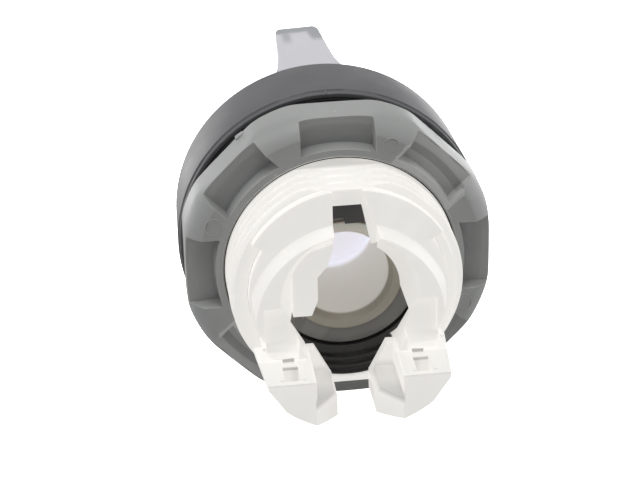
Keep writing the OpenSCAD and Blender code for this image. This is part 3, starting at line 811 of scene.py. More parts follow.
def lathe(name: str, outline: Sequence[Point], steps: int, crease_deg: float = 32.0) -> bpy.types.Object:
    """Turns a closed outline all the way about the switch's axis, in a number of steps."""
    return grid_piece(name, turned(outline, np.linspace(0, FULL_TURN, steps, endpoint=False)), crease_deg)


def arc_bar(name: str, outline: Sequence[Point], start_deg: float, stop_deg: float) -> bpy.types.Object:
    """Turns a closed outline through a part of a circle and closes both ends.

    Args:
        name: the piece's name.
        outline: points as radius and place along the axis.
        start_deg: first angle, from twelve o'clock to the left as seen from behind.
        stop_deg: last angle.

    Returns:
        The new piece.
    """
    grid = turned(outline, np.radians(np.linspace(start_deg, stop_deg, 64)))
    ends = [np.repeat(row.mean(0)[None, None], len(outline), 1) for row in (grid[0], grid[-1])]
    return grid_piece(name, np.concatenate([ends[0], grid, ends[1]]))


def rounded_model(source: bpy.types.Mesh, width: float, split: bool) -> bmesh.types.BMesh:
    """Rounds a mesh's sharp edges.

    Args:
        source: the mesh to start from.
        width: width of the rounding in millimetres.
        split: cuts flat faces into triangles first, which faces with holes need.

    Returns:
        The new model, which the caller frees.
    """
    merge, flat_deg, sharp_deg = 2e-6, 0.6, 35.0
    model = bmesh.new()
    model.from_mesh(source)
    bmesh.ops.remove_doubles(model, verts=model.verts, dist=merge)
    bmesh.ops.dissolve_degenerate(model, edges=model.edges, dist=merge)
    bmesh.ops.dissolve_limit(model, angle_limit=math.radians(flat_deg), verts=model.verts, edges=model.edges)
    if split:
        bmesh.ops.triangulate(model, faces=model.faces[:], ngon_method="BEAUTY")
    limit = math.radians(sharp_deg)
    sharp = [e for e in model.edges if len(e.link_faces) == 2 and e.calc_face_angle(0.0) > limit]
    bmesh.ops.bevel(model, geom=sharp, offset=width * MM, offset_type="OFFSET", segments=2, profile=0.5,
                    affect="EDGES", clamp_overlap=True, miter_outer="SHARP" if split else "ARC", material=-1)
    bmesh.ops.remove_doubles(model, verts=model.verts, dist=1e-6)
    bmesh.ops.triangulate(model, faces=[f for f in model.faces if len(f.verts) > 4], ngon_method="BEAUTY")
    bmesh.ops.recalc_face_normals(model, faces=model.faces)
    return model


def softened(node: str, name: str, width: float) -> bpy.types.Object:
    """Copies a CAD node and rounds its sharp edges a little.

    A rounding only takes surface away, so a first result with more surface or with open edges is thrown away,
    and a second try on faces cut into triangles is kept either way.

    Args:
        node: the CAD node.
        name: the new piece's name.
        width: width of the rounding in millimetres.

    Returns:
        The new piece.
    """
    source = bpy.data.objects[node].data
    whole = sum(p.area for p in source.polygons)
    most_share = 1.0005
    mesh = bpy.data.meshes.new(name)
    for split in (False, True):
        model = rounded_model(source, width, split)
        share = sum(f.calc_area() for f in model.faces) / whole
        loose = sum(1 for e in model.edges if len(e.link_faces) != 2)
        good = share < most_share and loose == 0
        verdict = "kept" if good else "not kept"
        log.info("%s: %.4f of the surface, %d open edges, %s", name, share, loose, verdict)
        if good or split:
            model.to_mesh(mesh)
        model.free()
        if good:
            break
    shade(mesh, 30.0)
    return add_object(name, mesh)


def rounded_block(name: str, size: Corner, rounding: float, place: Matrix) -> bpy.types.Object:
    """Makes a small block with rounded edges.

    Args:
        name: the piece's name.
        size: its three sides in millimetres.
        rounding: radius of its edges in millimetres.
        place: where it goes, from the origin.

    Returns:
        The new piece.
    """
    mesh = bpy.data.meshes.new(name)
    model = bmesh.new()
    bmesh.ops.create_cube(model, size=1.0)
    bmesh.ops.scale(model, vec=Vector(size) * MM, verts=model.verts)
    bmesh.ops.bevel(model, geom=list(model.edges), offset=rounding * MM, offset_type="OFFSET", segments=3,
                    profile=0.5, affect="EDGES", clamp_overlap=True, material=-1)
    model.to_mesh(mesh)
    model.free()
    shade(mesh, 40.0)
    mesh.transform(place)
    return add_object(name, mesh)


def swell(piece: bpy.types.Object, r: float, to_r: float) -> None:
    """Widens the round wall of one radius, which closes a narrow gap beside it.

    Args:
        piece: the piece that is changed.
        r: the wall's radius in millimetres.
        to_r: its new radius.
    """
    for vert in piece.data.vertices:
        here = math.hypot(vert.co.x, vert.co.z) / MM
        if abs(here - r) < 0.02:
            vert.co.x *= to_r / here
            vert.co.z *= to_r / here


def mirrored(piece: bpy.types.Object, name: str) -> bpy.types.Object:
    """Copies a piece to the other side of the middle plane.

    Args:
        piece: the piece that is copied.
        name: the copy's name.

    Returns:
        The copy.
    """
    mesh = piece.data.copy()
    mesh.name = name
    mesh.transform(Matrix.Scale(-1.0, 4, (1.0, 0.0, 0.0)))
    mesh.flip_normals()
    return add_object(name, mesh)


def open_geometry(name: str, sizes: Sequence[str]) -> tuple[NodeSheet, dict[str, Value], bpy.types.Node]:
    """Makes an empty geometry tree with its sizes and a finish as inputs."""
    inputs = {"Geometry": "Geometry", **{size: 0.0 for size in sizes}, "Finish": "Material"}
    return open_tree("GeometryNodeTree", name, inputs, {"Geometry": "Geometry"})


def end_geometry(shape: Value, finish: Value, end: bpy.types.Node) -> None:
    """Ends a geometry tree with real instances in one finish.

    Args:
        shape: what the tree has made.
        finish: the tree's input for the finish.
        end: the tree's output node.
    """
    real = shape.sheet.make("GeometryNodeRealizeInstances", {0: shape})
    painted = shape.sheet.make("GeometryNodeSetMaterial", {"Geometry": real, "Material": finish})
    shape.sheet.put(painted, end.inputs[0])


def run_tree(piece: bpy.types.Object, tree: bpy.types.NodeTree, values: dict[str, object]) -> None:
    """Runs a geometry tree on a piece and keeps its result as a plain mesh.

    Args:
        piece: the piece that carries the tree for the moment.
        tree: the geometry tree.
        values: the tree's inputs by name.
    """
    modifier = piece.modifiers.new("tree", "NODES")
    modifier.node_group = tree
    for item in tree.interface.items_tree:
        if item.item_type == "SOCKET" and item.in_out == "INPUT" and item.name in values:
            modifier[item.identifier] = values[item.name]
    graph = bpy.context.evaluated_depsgraph_get()
    made = bpy.data.meshes.new_from_object(piece.evaluated_get(graph), depsgraph=graph)
    piece.modifiers.remove(modifier)
    made.name = piece.name
    piece.data = made


@dataclass
class SubAssembly:
    """What every sub-assembly shares: the frame, the materials and the way a piece is handed over."""

    frame: dict
    finishes: dict[str, bpy.types.Material]

    def hand_over(self, piece: bpy.types.Object, body: str, slot: str, *nodes: str) -> None:
        """Dresses a new piece and puts it in the place of CAD nodes.

        Args:
            piece: the new piece.
            body: the body it rides on.
            slot: the record's material slot.
            nodes: the CAD nodes it stands for.
        """
        dress(piece, self.finishes[slot])
        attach(piece, body)
        if nodes:
            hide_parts(*nodes)
        log.info("%s rides on %s and stands for %s", piece.name, body, ", ".join(nodes) or "nothing")

    def dress_nodes(self, slot: str, *nodes: str) -> None:
        """Gives CAD nodes that stay their finish.

        Args:
            slot: the record's material slot.
            nodes: the nodes.
        """
        for node in nodes:
            dress(self.frame["nodes"][node], self.finishes[slot])
            log.info("%s stays as it is, in %s", node, slot)


@dataclass
class FrontRing(SubAssembly):
    """Black front ring with its gasket and seal."""

    rear_r: float = 14.75
    front_r: float = 14.45
    band_r: float = 14.6
    bore_r: float = 12.25
    bore_chamfer: float = 0.3
    seat_r: float = 11.05
    front_y: float = -9.2
    rear_y: float = -0.4
    floor_y: float = -3.2
    seal_y: float = -2.267
    seal_r: float = 12.0
    gasket_y: float = -0.8
    gasket_r: float = 14.15
    band_y: float = -1.1
    edge_r: float = 0.9
    seam_size: Corner = (0.1, 0.95, 0.16)
    seam_sunk: Point = (0.42, 0.12)
    seam_deg: float = 0.9

    def build(self) -> None:
        """Builds the ring and dresses its seals."""
        seat, bore, seal, gasket = self.seat_r, self.bore_r, self.seal_r, self.gasket_r
        outline = filleted([
            (seat, self.floor_y, 0.15), (bore, self.floor_y, 0.2),
            (bore, self.front_y + self.bore_chamfer, 0.1), (bore + self.bore_chamfer, self.front_y, 0.12),
            (self.front_r, self.front_y, self.edge_r),
            (self.rear_r, self.band_y, 0.05), (self.band_r, self.band_y + 0.1, 0.03),
            (self.band_r, self.rear_y, 0.16), (gasket, self.rear_y, 0.06), (gasket, self.gasket_y, 0),
            (seal, self.gasket_y, 0.05), (seal, self.seal_y, 0), (seat, self.seal_y, 0.05),
        ])
        self.hand_over(lathe("front_ring", outline, 256), "base", "black_plastic", "bezel_ring")
        seam_place = moved_to((0.0, self.rear_y - self.seam_sunk[0], self.rear_r - self.seam_sunk[1]))
        seam = rounded_block("front_ring_seam", self.seam_size, 0.03, about_axis(self.seam_deg) @ seam_place)
        self.hand_over(seam, "base", "black_plastic")
        self.dress_nodes("rubber", "panel_gasket", "bezel_seal")


@dataclass
class ThreadedSleeve(SubAssembly):
    """White sleeve with flange, collar and a thread that two flats cut across."""

    flange_r: float = 12.1
    flange_front: float = -4.4
    flange_rear: float = -3.2
    neck_r: float = 10.7
    neck_y: float = -0.8
    collar_r: float = 11.0
    collar_y: float = 1.0
    relief_r: float = 10.2
    relief_y: float = 1.5
    crest_r: float = 10.8
    rear_y: float = 11.1
    flat_top: float = 10.05
    flat_bottom: float = 9.65
    pitch: float = 1.5
    rings_per_pitch: int = 14
    depth: float = 0.88
    thread_start: float = 1.75
    lead: float = 0.4
    rear_bore: float = 9.2
    front_bore: float = 9.0
    guide_y: float = 7.7
    rib_r: float = 7.65
    rib_span: Point = (-2.4, -0.8)
    ball_rib_r: float = 7.75
    ball_rib_span: Point = (1.5, 3.7)

    def build(self) -> None:
        """Builds the sleeve."""
        length = self.rear_y - self.relief_y
        steps = int(length / self.pitch * self.rings_per_pitch)
        outer = [(self.crest_r, self.relief_y + length * k / steps) for k in range(steps + 1)]
        collar, neck, bore = self.collar_r, self.neck_r, self.front_bore
        front = filleted([
            (bore, self.flange_front, 0), (self.flange_r, self.flange_front, 0.15),
            (self.flange_r, self.flange_rear, 0.1), (collar, self.flange_rear, 0.05),
            (collar, self.neck_y, 0.05), (neck, self.neck_y, 0), (neck, 0.0, 0), (collar, 0.0, 0.05),
            (collar, self.collar_y, 0.2), (self.relief_r, self.collar_y, 0.1),
            (self.relief_r, self.relief_y, 0),
        ], 3)
        (ball_front, ball_rear), (rib_front, rib_rear) = self.ball_rib_span, self.rib_span
        ribs = filleted([
            (self.rear_bore, self.rear_y, 0), (self.rear_bore, self.guide_y, 0.05), (bore, self.guide_y, 0.1),
            (bore, ball_rear, 0.1), (self.ball_rib_r, ball_rear, 0.1), (self.ball_rib_r, ball_front, 0.1),
            (bore, ball_front, 0.1), (bore, rib_rear, 0.1), (self.rib_r, rib_rear, 0.12),
            (self.rib_r, rib_front, 0.12), (bore, rib_front, 0),
        ], 3)
        piece = lathe("threaded_sleeve", front[:-1] + outer + ribs, 360, 40.0)
        sizes = {
            "Pitch": self.pitch, "Depth": self.depth, "Crest": self.crest_r, "Start": self.thread_start,
            "Relief": self.relief_y, "End": self.rear_y, "Lead": self.lead, "Least": self.rear_bore + 0.1,
            "Flat Top": self.flat_top, "Flat Bottom": self.flat_bottom,
        }
        values = {name: size * MM for name, size in sizes.items()}
        run_tree(piece, self._thread_tree(tuple(sizes)), {**values, "Finish": self.finishes["white_plastic"]})
        shade(piece.data, 40.0)
        self.hand_over(piece, "base", "white_plastic", "housing")

    @staticmethod
    def _thread_tree(sizes: Sequence[str]) -> bpy.types.NodeTree:
        """Geometry tree that presses a helical thread and two flats into a turned sleeve.

        Args:
            sizes: names of the tree's sizes.

        Returns:
            The tree.
        """
        sheet, given, end = open_geometry("thread_on_a_sleeve", sizes)
        crest_share, root_share, nearly = 0.06, 0.40, 0.00001
        crest, lead = given["Crest"], given["Lead"]
        x, y, z = sheet.axes(sheet.make("GeometryNodeInputPosition", {}))
        radius = sheet.calc("SQRT", x * x + z * z)
        phase = y / given["Pitch"] - sheet.calc("ARCTAN2", x, z) / FULL_TURN
        groove = sheet.remap(abs(sheet.calc("FRACT", phase) - 0.5), crest_share, root_share, 1.0, 0.0)
        fade_in = sheet.remap(y, given["Start"], given["Start"] + lead)
        ridge = crest - groove * fade_in * given["Depth"]
        rear = given["End"] - y + (crest - lead)
        front = y - given["Relief"] + (crest - lead)
        shape = sheet.calc("MINIMUM", sheet.calc("MINIMUM", ridge, rear), front)
        upright = sheet.calc("MAXIMUM", abs(z / radius), 0.001)
        above = sheet.calc("GREATER_THAN", z, 0.0)
        flat = given["Flat Bottom"] + above * (given["Flat Top"] - given["Flat Bottom"])
        shape = sheet.calc("MINIMUM", shape, flat / upright)
        scale = sheet.calc("MAXIMUM", shape, given["Least"]) / radius
        place = sheet.make("ShaderNodeCombineXYZ", {0: x * scale, 1: y, 2: z * scale})
        is_outer = sheet.calc("GREATER_THAN", radius, crest - nearly)
        behind = sheet.calc("GREATER_THAN", y, given["Relief"] - nearly)
        inputs = {"Geometry": given["Geometry"], "Selection": is_outer * behind, "Position": place}
        end_geometry(sheet.make("GeometryNodeSetPosition", inputs), given["Finish"], end)
        return sheet.tree


@dataclass
class RingNut(SubAssembly):
    """Grey ring nut: flats, sloping shoulder, notches and round marks on every second tooth."""

    corner_r: float = 14.9
    flat_r: float = 14.35
    corner_soft: float = 0.08
    face_r: float = 13.3
    ring_r: float = 11.68
    ring_soft: float = 0.12
    bore_r: float = 10.9
    chamfer: float = 0.2
    front_y: float = 1.05
    rear_y: float = 6.25
    side: float = 2.6
    front_rings: tuple[float, ...] = (12.0, 13.4)
    side_rings: tuple[float, ...] = (0.2, 0.5, 0.9, 1.5)
    face_rings: tuple[float, ...] = (13.0, 12.8, 12.6)
    wall_rings: tuple[float, ...] = (0.34, 0.2, 0.12, 0.06, 0.0, -0.05, -0.14, -0.3)
    bore_rings: tuple[float, ...] = (4.0, 2.5)
    notch_w: float = 6.8
    notch_depth: float = 1.7
    dish: float = 0.22
    dish_start: float = 0.6
    dish_reach: float = 1.4
    side_rise: float = 0.08
    wall: float = 0.06
    mark_r: float = 0.8
    mark_place_r: float = 12.65
    mark_line: float = 0.045
    mark_height: float = 0.005
    nib_angle: float = 36.3
    nib_r: float = 14.25
    nib_y: float = 1.4
    nib_size: Corner = (0.95, 0.7, 0.9)
    line_r: float = 0.05
    half_sector: float = math.pi / 8

    def build(self) -> None:
        """Builds the nut, its round marks, the lines round its bore, one of them a painted shadow, and its
        nib.
        """
        self.hand_over(grid_piece("ring_nut", self._grid(), 18.0), "nut", "grey_plastic", "mounting_nut")
        marks = add_object("nut_round_marks", bpy.data.meshes.new("nut_round_marks"))
        values = {
            "Place Radius": self.mark_place_r * MM, "Mark Radius": self.mark_r * MM,
            "Line": self.mark_line * MM, "Height": (self.rear_y + self.mark_height) * MM,
            "Turn": -self.half_sector,
        }
        run_tree(marks, self._marks_tree(tuple(values)), {**values, "Finish": self.finishes["grey_plastic"]})
        self.hand_over(marks, "nut", "grey_plastic")
        turn = np.linspace(0, FULL_TURN, 9)[:-1]
        # The rubber ring in the bore is a painted shadow, dark where the gap between nut and thread falls in
        # shade.
        lines = (("nut_bore_edge", "grey_plastic", self.bore_r + self.chamfer + 0.02, self.rear_y),
                 ("nut_bore_gap", "rubber", self.bore_r - 0.01, self.rear_y - 0.1))
        for name, slot, r, y in lines:
            circle = [(r + self.line_r * math.cos(a), y + self.line_r * math.sin(a)) for a in turn]
            self.hand_over(lathe(name, circle, 256), "nut", slot)
        nib_place = about_axis(self.nib_angle) @ moved_to((0.0, self.nib_y, self.nib_r))
        self.hand_over(rounded_block("nut_nib", self.nib_size, 0.16, nib_place), "nut", "grey_plastic")

    def _outline(self) -> list[Point]:
        """Outline of a tooth: front face, side, shoulder, rear face, chamfer and bore.

        Returns:
            Points as radius and place along the axis.
        """
        corner, front, rear, bore = self.corner_r, self.front_y, self.rear_y, self.bore_r
        inner = bore + self.chamfer
        points = [(r, front) for r in (inner, *self.front_rings, corner - 0.25)]
        points += [(corner - 0.08, front + 0.06), *((corner, front + rise) for rise in self.side_rings)]
        points += curve((corner, front + self.side), (corner - 0.12, rear - 0.95),
                        (self.face_r + 0.03, rear - 0.03), 14)
        points += [(self.face_r - 0.04, rear), *((r, rear) for r in self.face_rings)]
        points += [(self.ring_r + step, rear) for step in self.wall_rings]
        points += [(inner + 0.05, rear), (inner, rear - 0.03), (bore + 0.05, rear - self.chamfer)]
        points += [(bore, rear - self.chamfer - 0.08), *((bore, y) for y in self.bore_rings)]
        return points + [(bore, front + self.chamfer)]

    def _angles(self, r: np.ndarray) -> np.ndarray:
        """Angles from a notch's middle to a tooth's middle.

        Args:
            r: the outline's radii.

        Returns:
            One row of angles for each step, with one angle for each radius.
        """
        half = self.notch_w / 2
        floor = np.linspace(0, half - self.wall, 10)
        wall = half - self.wall + 2 * self.wall * np.array([0.5, 1.0, 1.8])
        rows = np.arcsin(np.append(floor, wall)[:, None] / r)
        tooth = rows[-1] + (self.half_sector - rows[-1]) * np.array([0.12, 0.28, 0.5, 0.75, 1.0])[:, None]
        return np.concatenate([rows, tooth])

    def _grid(self) -> np.ndarray:
        """Points of the whole nut.

        Returns:
            Points in millimetres, round the axis and then along the outline.
        """
        r, y = np.array(self._outline()).T
        half = self._angles(r)
        sector = np.concatenate([-half[:0:-1], half[:-1]])
        middles = np.arange(8) * 2 * self.half_sector
        return np.array([self._row(r, y, offset, middle) for middle in middles for offset in sector])

    def _row(self, r: np.ndarray, y: np.ndarray, offset: np.ndarray, middle: float) -> np.ndarray:
        """One outline, with the notch pressed in and the flat cut off.

        Args:
            r: the outline's radii.
            y: its places along the axis.
            offset: its angles from the notch's middle.
            middle: angle of the notch's middle.

        Returns:
            The outline's points in millimetres.
        """
        half = self.notch_w / 2
        x = np.abs(np.sin(offset) * r)
        side = np.clip((half + self.wall - x) / (2 * self.wall), 0, 1)
        inner = np.clip((r - self.ring_r) / self.ring_soft, 0, 1)
        dish = self.dish * np.clip((r - self.ring_r - self.dish_start) / self.dish_reach, 0, 1) ** 2
        dish += self.side_rise * np.clip(x / half, 0, 1) ** 4
        floor = self.rear_y - self.notch_depth + dish
        rear = y > self.front_y + 0.6
        depth = np.where(rear, np.clip(y - floor, 0, None), 0) * side * inner
        flat = self.flat_r / np.cos(offset)
        radius = flat - self.corner_soft * np.logaddexp(0.0, (flat - r) / self.corner_soft)
        angle = middle + offset
        return np.stack([radius * np.sin(angle), y - depth, radius * np.cos(angle)], -1)

    @staticmethod
    def _marks_tree(sizes: Sequence[str]) -> bpy.types.NodeTree:
        """Geometry tree that sets a thin round line on every second tooth.

        Args:
            sizes: names of the tree's sizes.

        Returns:
            The tree.
        """
        sheet, given, end = open_geometry("round_marks", sizes)
        flat = math.pi / 2
        spots = sheet.make("GeometryNodeMeshCircle", {"Vertices": 4, "Radius": given["Place Radius"]})
        spin = sheet.make("ShaderNodeCombineXYZ", {0: flat, 1: given["Turn"]})
        lift = sheet.make("ShaderNodeCombineXYZ", {1: given["Height"]})
        inputs = {"Geometry": spots, "Rotation": spin, "Translation": lift}
        points = sheet.make("GeometryNodeTransform", inputs)
        circles = {"Curve": (40, "Mark Radius"), "Profile Curve": (8, "Line")}
        for use, (steps, size) in circles.items():
            inputs = {"Resolution": steps, "Radius": given[size]}
            circles[use] = sheet.make("GeometryNodeCurvePrimitiveCircle", inputs)
        tube = sheet.make("GeometryNodeCurveToMesh", circles)
        laid = sheet.make("GeometryNodeTransform", {"Geometry": tube, "Rotation": (flat, 0.0, 0.0)})
        copies = sheet.make("GeometryNodeInstanceOnPoints", {"Points": points, "Instance": laid})
        end_geometry(copies, given["Finish"], end)
        return sheet.tree


@dataclass
class RearEnd(SubAssembly):
    """Rear cap, stepped guide ring and the two legs."""

    cap_edge: float = 0.07
    cap_body_r: float = 8.9
    cap_wall_r: float = 9.15
    seat_r: Point = (8.6, 9.19)
    seat_y: Point = (10.72, 10.95)
    seat_middle_deg: float = 80.0
    seat_half_deg: float = 45.0
    ring_edge: float = 0.05
    leg_edge: float = 0.11
    slot_wall_size: Corner = (1.2, 0.7, 4.3)
    slot_wall_place: Corner = (-2.36, 10.75, 6.55)
    slot_wall_deg: float = 11.7

    def build(self) -> None:
        """Builds the pieces from the CAD nodes, with softened edges."""
        cap = softened("rear_cap", "rear_cover", self.cap_edge)
        swell(cap, self.cap_body_r, self.cap_wall_r)
        self.hand_over(cap, "base", "white_plastic", "rear_cap")
        (inner, outer), (low, high) = self.seat_r, self.seat_y
        seat = [(inner, low), (outer, low), (outer, high), (inner, high)]
        # The seat bars close the gap between the cap and the sleeve; they take the insert's white, which
        # lacks the painted glow, so they show there as painted shade.
        for side in Side:
            middle = side.value * self.seat_middle_deg
            name = "cap_seat_" + side.name.lower()
            bar = arc_bar(name, seat, middle - self.seat_half_deg, middle + self.seat_half_deg)
            self.hand_over(bar, "base", "insert_white")
        wall_place = moved_to(self.slot_wall_place) @ about_axis(self.slot_wall_deg)
        wall = rounded_block("slot_wall", self.slot_wall_size, 0.08, wall_place)
        self.hand_over(wall, "base", "white_plastic")
        ring = softened("guide_ring", "stepped_ring", self.ring_edge)
        self.hand_over(ring, "base", "dark_plastic", "guide_ring")
        legs = {Side.LEFT: softened("left_plunger", "left_push_leg", self.leg_edge)}
        legs[Side.RIGHT] = mirrored(legs[Side.LEFT], "right_push_leg")
        for side, leg in legs.items():
            word = side.name.lower()
            self.hand_over(leg, word + "_leg", "white_plastic", word + "_plunger")
            # The legs take the white plastic with boxes of painted shade.
            dress(leg, self.finishes["leg_plastic"])


@dataclass
class Handle(SubAssembly):
    """Clear handle and disc with the white insert inside them."""

    front_y: float = -24.2
    disc_y: float = -9.9
    insert_y: float = -8.5
    skirt_y: float = -4.7
    disc_r: float = 12.1
    skirt_r: float = 10.9
    hole_r: float = 0.02
    foot_y: float = -9.7
    end_y: float = -14.0
    half: float = 13.0
    end_r: float = 1.2
    edge_r: float = 0.12
    foot: float = 3.9
    waist: float = 2.65
    front: float = 2.1
    flare: float = 6.0
    bend: Point = (0.25, 2.1)
    corner_x: float = 0.6
    corner_y: Corner = (0.6, 2.0, 4.0)
    heights: tuple[float, ...] = (0.0, 4.0, 8.0, 10.0, 11.0)
    lean_deg: float = 2.4
    insert_edge: float = 0.15

    def build(self) -> None:
        """Builds the shell's two parts and the insert."""
        disc = lathe("clear_disc", filleted([
            (self.hole_r, self.disc_y, 0), (self.disc_r, self.disc_y, 0.4), (self.disc_r, self.skirt_y, 0.15),
            (self.skirt_r, self.skirt_y, 0.1), (self.skirt_r, self.insert_y, 0.1),
            (self.hole_r, self.insert_y, 0),
        ]), 192)
        self.hand_over(disc, "knob", "clear_plastic", "knob_shell")
        bar = grid_piece("clear_handle", self._bar(), 40.0)
        bar.data.transform(about_axis(self.lean_deg))
        self.hand_over(bar, "knob", "clear_plastic")
        insert = softened("knob_diffuser", "handle_insert", self.insert_edge)
        self.hand_over(insert, "knob", "insert_white", "knob_diffuser")

    def _half_width(self, y: np.ndarray) -> np.ndarray:
        """Half of the handle's width: straight sides that flare out at the foot.

        Args:
            y: places along the axis.

        Returns:
            Half of the width at each place.
        """
        wider, lower = self.bend
        points = curve((self.foot, self.foot_y), (self.waist + wider, self.disc_y - lower),
                       (self.waist, self.disc_y - self.flare), 23)
        widths, places = np.array(points + [(self.front, self.front_y)])[::-1].T
        return np.interp(y, places, widths)

    def _bar(self) -> np.ndarray:
        """Points of the handle: one outline for each height, closed at both ends.

        Returns:
            Points in millimetres, by height and then along the outline.
        """
        rounded = np.linspace(self.half - self.end_r, self.half - self.edge_r, 9)
        rows = [(z, 0.0) for z in (*self.heights, *rounded[:-1])]
        for a in np.radians(np.linspace(0.0, 90.0, 7)):
            rows.append((self.half - self.edge_r * (1 - math.sin(a)), self.edge_r * (1 - math.cos(a))))
        upper = [self._section(z, inset) for z, inset in rows]
        lower = [row * np.array([1.0, 1.0, -1.0]) for row in upper[:0:-1]]
        ends = [np.tile([0.0, self.end_y, side * self.half], (len(upper[0]), 1)) for side in (-1, 1)]
        return np.array([ends[0], *lower, *upper, ends[1]])

    def _section(self, z: float, inset: float) -> np.ndarray:
        """Outline of the handle at one height, with rounded front corners.

        Args:
            z: the height.
            inset: how far the outline lies inside the sides.

        Returns:
            The outline's points in millimetres.
        """
        past = max(0.0, z - (self.half - self.end_r))
        front = self.front_y + self.end_r - math.sqrt(max(0.0, self.end_r ** 2 - past ** 2)) + inset
        least, most, reach = self.corner_y
        tall = least + (most - least) * min(1.0, max(0.0, (z - self.half + reach) / reach))
        y = np.linspace(self.foot_y, front + tall, 22)
        x = self._half_width(y) - inset
        turn = np.radians(np.linspace(0.0, 90.0, 9))[1:]
        x = np.append(x, x[-1] - self.corner_x * (1 - np.cos(turn)))
        y = np.append(y, front + tall * (1 - np.sin(turn)))
        return np.stack([np.append(x, -x[::-1]), np.append(y, y[::-1]), np.full(2 * len(x), z)], -1)


@dataclass
class Rotor(SubAssembly):
    """Rotor with the lens cup in it and the click parts round it."""

    hole_r: float = 0.02
    cup_r: float = 5.5
    cup_bore_r: float = 4.25
    cup_lip: Point = (0.4, 0.5)
    cup_front: float = -3.8
    cup_floor: float = -3.0
    cup_rear: float = 8.5
    rotor_edge: float = 0.06

    def build(self) -> None:
        """Builds the lens cup and dresses the rest."""
        (wider, lower), bore = self.cup_lip, self.cup_bore_r
        outline = filleted([
            (self.hole_r, self.cup_front, 0), (self.cup_r, self.cup_front, 0.3),
            (self.cup_r, self.cup_rear, 0.15), (bore + wider, self.cup_rear, 0.12),
            (bore, self.cup_rear - lower, 0.3), (bore, self.cup_floor, 0.5), (self.hole_r, self.cup_floor, 0),
        ])
        self.hand_over(lathe("lens_cup_body", outline, 160), "knob", "lens_plastic", "lens_cup")
        self.hand_over(softened("rotor", "rotor_tube", self.rotor_edge), "knob", "rotor_plastic", "rotor")
        self.dress_nodes("dark_plastic", "cam_ring")
        self.dress_nodes("rubber", "knob_seal")
        springs = [side + piece for side in ("left", "right") for piece in ("_detent_ball", "_detent_spring")]
        self.dress_nodes("steel", "rotor_clip", *springs)


@dataclass(frozen=True)
class Lamp:
    """Square lamp that looks at the switch: its place and side in metres, and its power in watts."""

    name: str
    place: Corner
    side: float
    power: float

    def build(self) -> None:
        """Adds the lamp to the scene."""
        data = bpy.data.lights.new(self.name, "AREA")
        data.shape = "SQUARE"
        data.size = self.side
        data.energy = self.power
        lamp = add_object(self.name, data)
        lamp.location = self.place
        lamp.rotation_mode = "QUATERNION"
        lamp.rotation_quaternion = (-Vector(self.place)).to_track_quat("-Z", "Y")


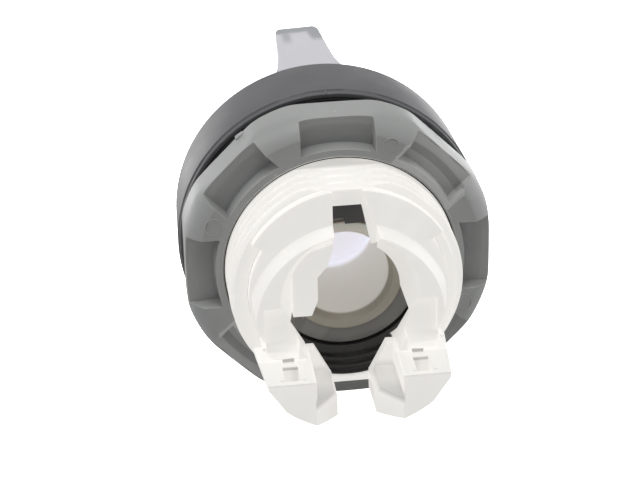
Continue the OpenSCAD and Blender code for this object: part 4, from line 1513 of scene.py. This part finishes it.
@dataclass
class Studio:
    """Camera, floor and soft light."""

    azimuth: float = 173.57
    elevation: float = 25.73
    roll: float = -1.474
    distance: float = 200.0
    shift_x: float = -1.179
    shift_y: float = -0.337
    focal_px: float = 2083.0
    frame_px: float = 640.0
    sensor: float = 36.0
    floor_z: float = -14.95
    floor_reach: float = 4000.0
    floor_pale: Point = (0.93, 0.96)
    floor_glow: float = 1.5
    floor_bounce: float = 0.6
    floor_front: float = 2.4
    front_edge: Point = (-100.0, -20.0)
    sky: float = 0.43
    sky_rear: float = 0.27
    white: float = 1.02
    lamps: tuple[Lamp, ...] = (
        Lamp("top_light", (0.02, 0.06, 0.45), 0.28, 1.0),
        Lamp("left_light", (0.38, -0.02, 0.30), 0.30, 0.65),
        Lamp("right_light", (-0.45, 0.0, 0.12), 0.30, 0.65),
        Lamp("front_fill", (0.0, -0.45, 0.25), 0.35, 0.15),
    )

    def build(self) -> None:
        """Sets up the camera, the floor, the sky and the lamps."""
        self._camera()
        self._floor()
        self._sky()
        for lamp in self.lamps:
            lamp.build()
        bpy.context.scene.view_settings.view_transform = "Standard"

    def _camera(self) -> None:
        """Places the camera where the photograph was taken."""
        az, el, roll = (math.radians(v) for v in (self.azimuth, self.elevation, self.roll))
        back = Vector((math.sin(az) * math.cos(el), -math.cos(az) * math.cos(el), math.sin(el)))
        level = Vector((0, 0, 1)).cross(back).normalized()
        upright = back.cross(level)
        right = level * math.cos(roll) + upright * math.sin(roll)
        up = upright * math.cos(roll) - level * math.sin(roll)
        eye = (back * self.distance + right * self.shift_x + up * self.shift_y) * MM
        data = bpy.data.cameras.new("photo_camera")
        camera = add_object("photo_camera", data)
        rows = [(right[k], up[k], back[k], eye[k]) for k in range(3)]
        camera.matrix_world = Matrix([*rows, (0.0, 0.0, 0.0, 1.0)])
        data.sensor_width = self.sensor
        data.lens = self.focal_px / self.frame_px * self.sensor
        data.clip_start = 0.01
        data.clip_end = 20.0
        bpy.context.scene.camera = camera

    def _floor(self) -> None:
        """Lays a wide pale floor under the switch, which lights its front more than its rear."""
        mesh = bpy.data.meshes.new("floor")
        corners = [(-1, -1), (1, -1), (1, 1), (-1, 1)]
        reach = self.floor_reach * MM
        mesh.from_pydata([(x * reach, y * reach, self.floor_z * MM) for x, y in corners], [], [(0, 1, 2, 3)])
        floor = add_object("floor", mesh)
        sheet = MaterialSheet("pale_floor")
        seen = sheet.make("ShaderNodeLightPath", {}, "Is Camera Ray")
        pale = sheet.blend(sheet.noise(sheet.place, 6.0, 3.0), *((tone,) * 3 for tone in self.floor_pale))
        sheet.set(Base_Color=sheet.blend(seen, (self.floor_bounce,) * 3, pale), Roughness=0.8)
        glow = sheet.make("ShaderNodeEmission", {"Color": WHITE, "Strength": self.floor_glow})
        y = sheet.axes(sheet.place)[1]
        start, stop = (edge * MM for edge in self.front_edge)
        strength = sheet.remap(y, start, stop, self.floor_front, 0.0)
        front = sheet.make("ShaderNodeEmission", {"Color": WHITE, "Strength": strength})
        shown, lit = (sheet.make("ShaderNodeAddShader", {0: sheet.shader, 1: light})
                      for light in (glow, front))
        sheet.put(sheet.make("ShaderNodeMixShader", {0: seen, 1: lit, 2: shown}), sheet.surface)
        dress(floor, sheet.material)

    def _sky(self) -> None:
        """Fills the scene with soft light, weaker from behind the switch, and a white background."""
        world = bpy.data.worlds.new("white_tent")
        bpy.context.scene.world = world
        world.use_nodes = True
        world.node_tree.nodes.clear()
        sheet = NodeSheet(world.node_tree)
        end = world.node_tree.nodes.new("ShaderNodeOutputWorld")
        seen = sheet.make("ShaderNodeLightPath", {}, "Is Camera Ray")
        y = sheet.axes(sheet.make("ShaderNodeTexCoord", {}, "Generated"))[1]
        strength = sheet.remap(y, -0.3, 1.0, self.sky, self.sky_rear)
        light, shown = (sheet.make("ShaderNodeBackground", {"Color": WHITE, "Strength": value})
                        for value in (strength, self.white))
        sheet.put(sheet.make("ShaderNodeMixShader", {0: seen, 1: light, 2: shown}), end.inputs["Surface"])


def main() -> None:
    """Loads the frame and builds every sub-assembly in order."""
    logging.basicConfig(level=logging.INFO, format="%(message)s")
    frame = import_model()
    finishes = FinishSet().build()
    Studio().build()
    for maker in (FrontRing, ThreadedSleeve, RingNut, RearEnd, Handle, Rotor):
        maker(frame, finishes).build()


if __name__ == "__main__":
    main()
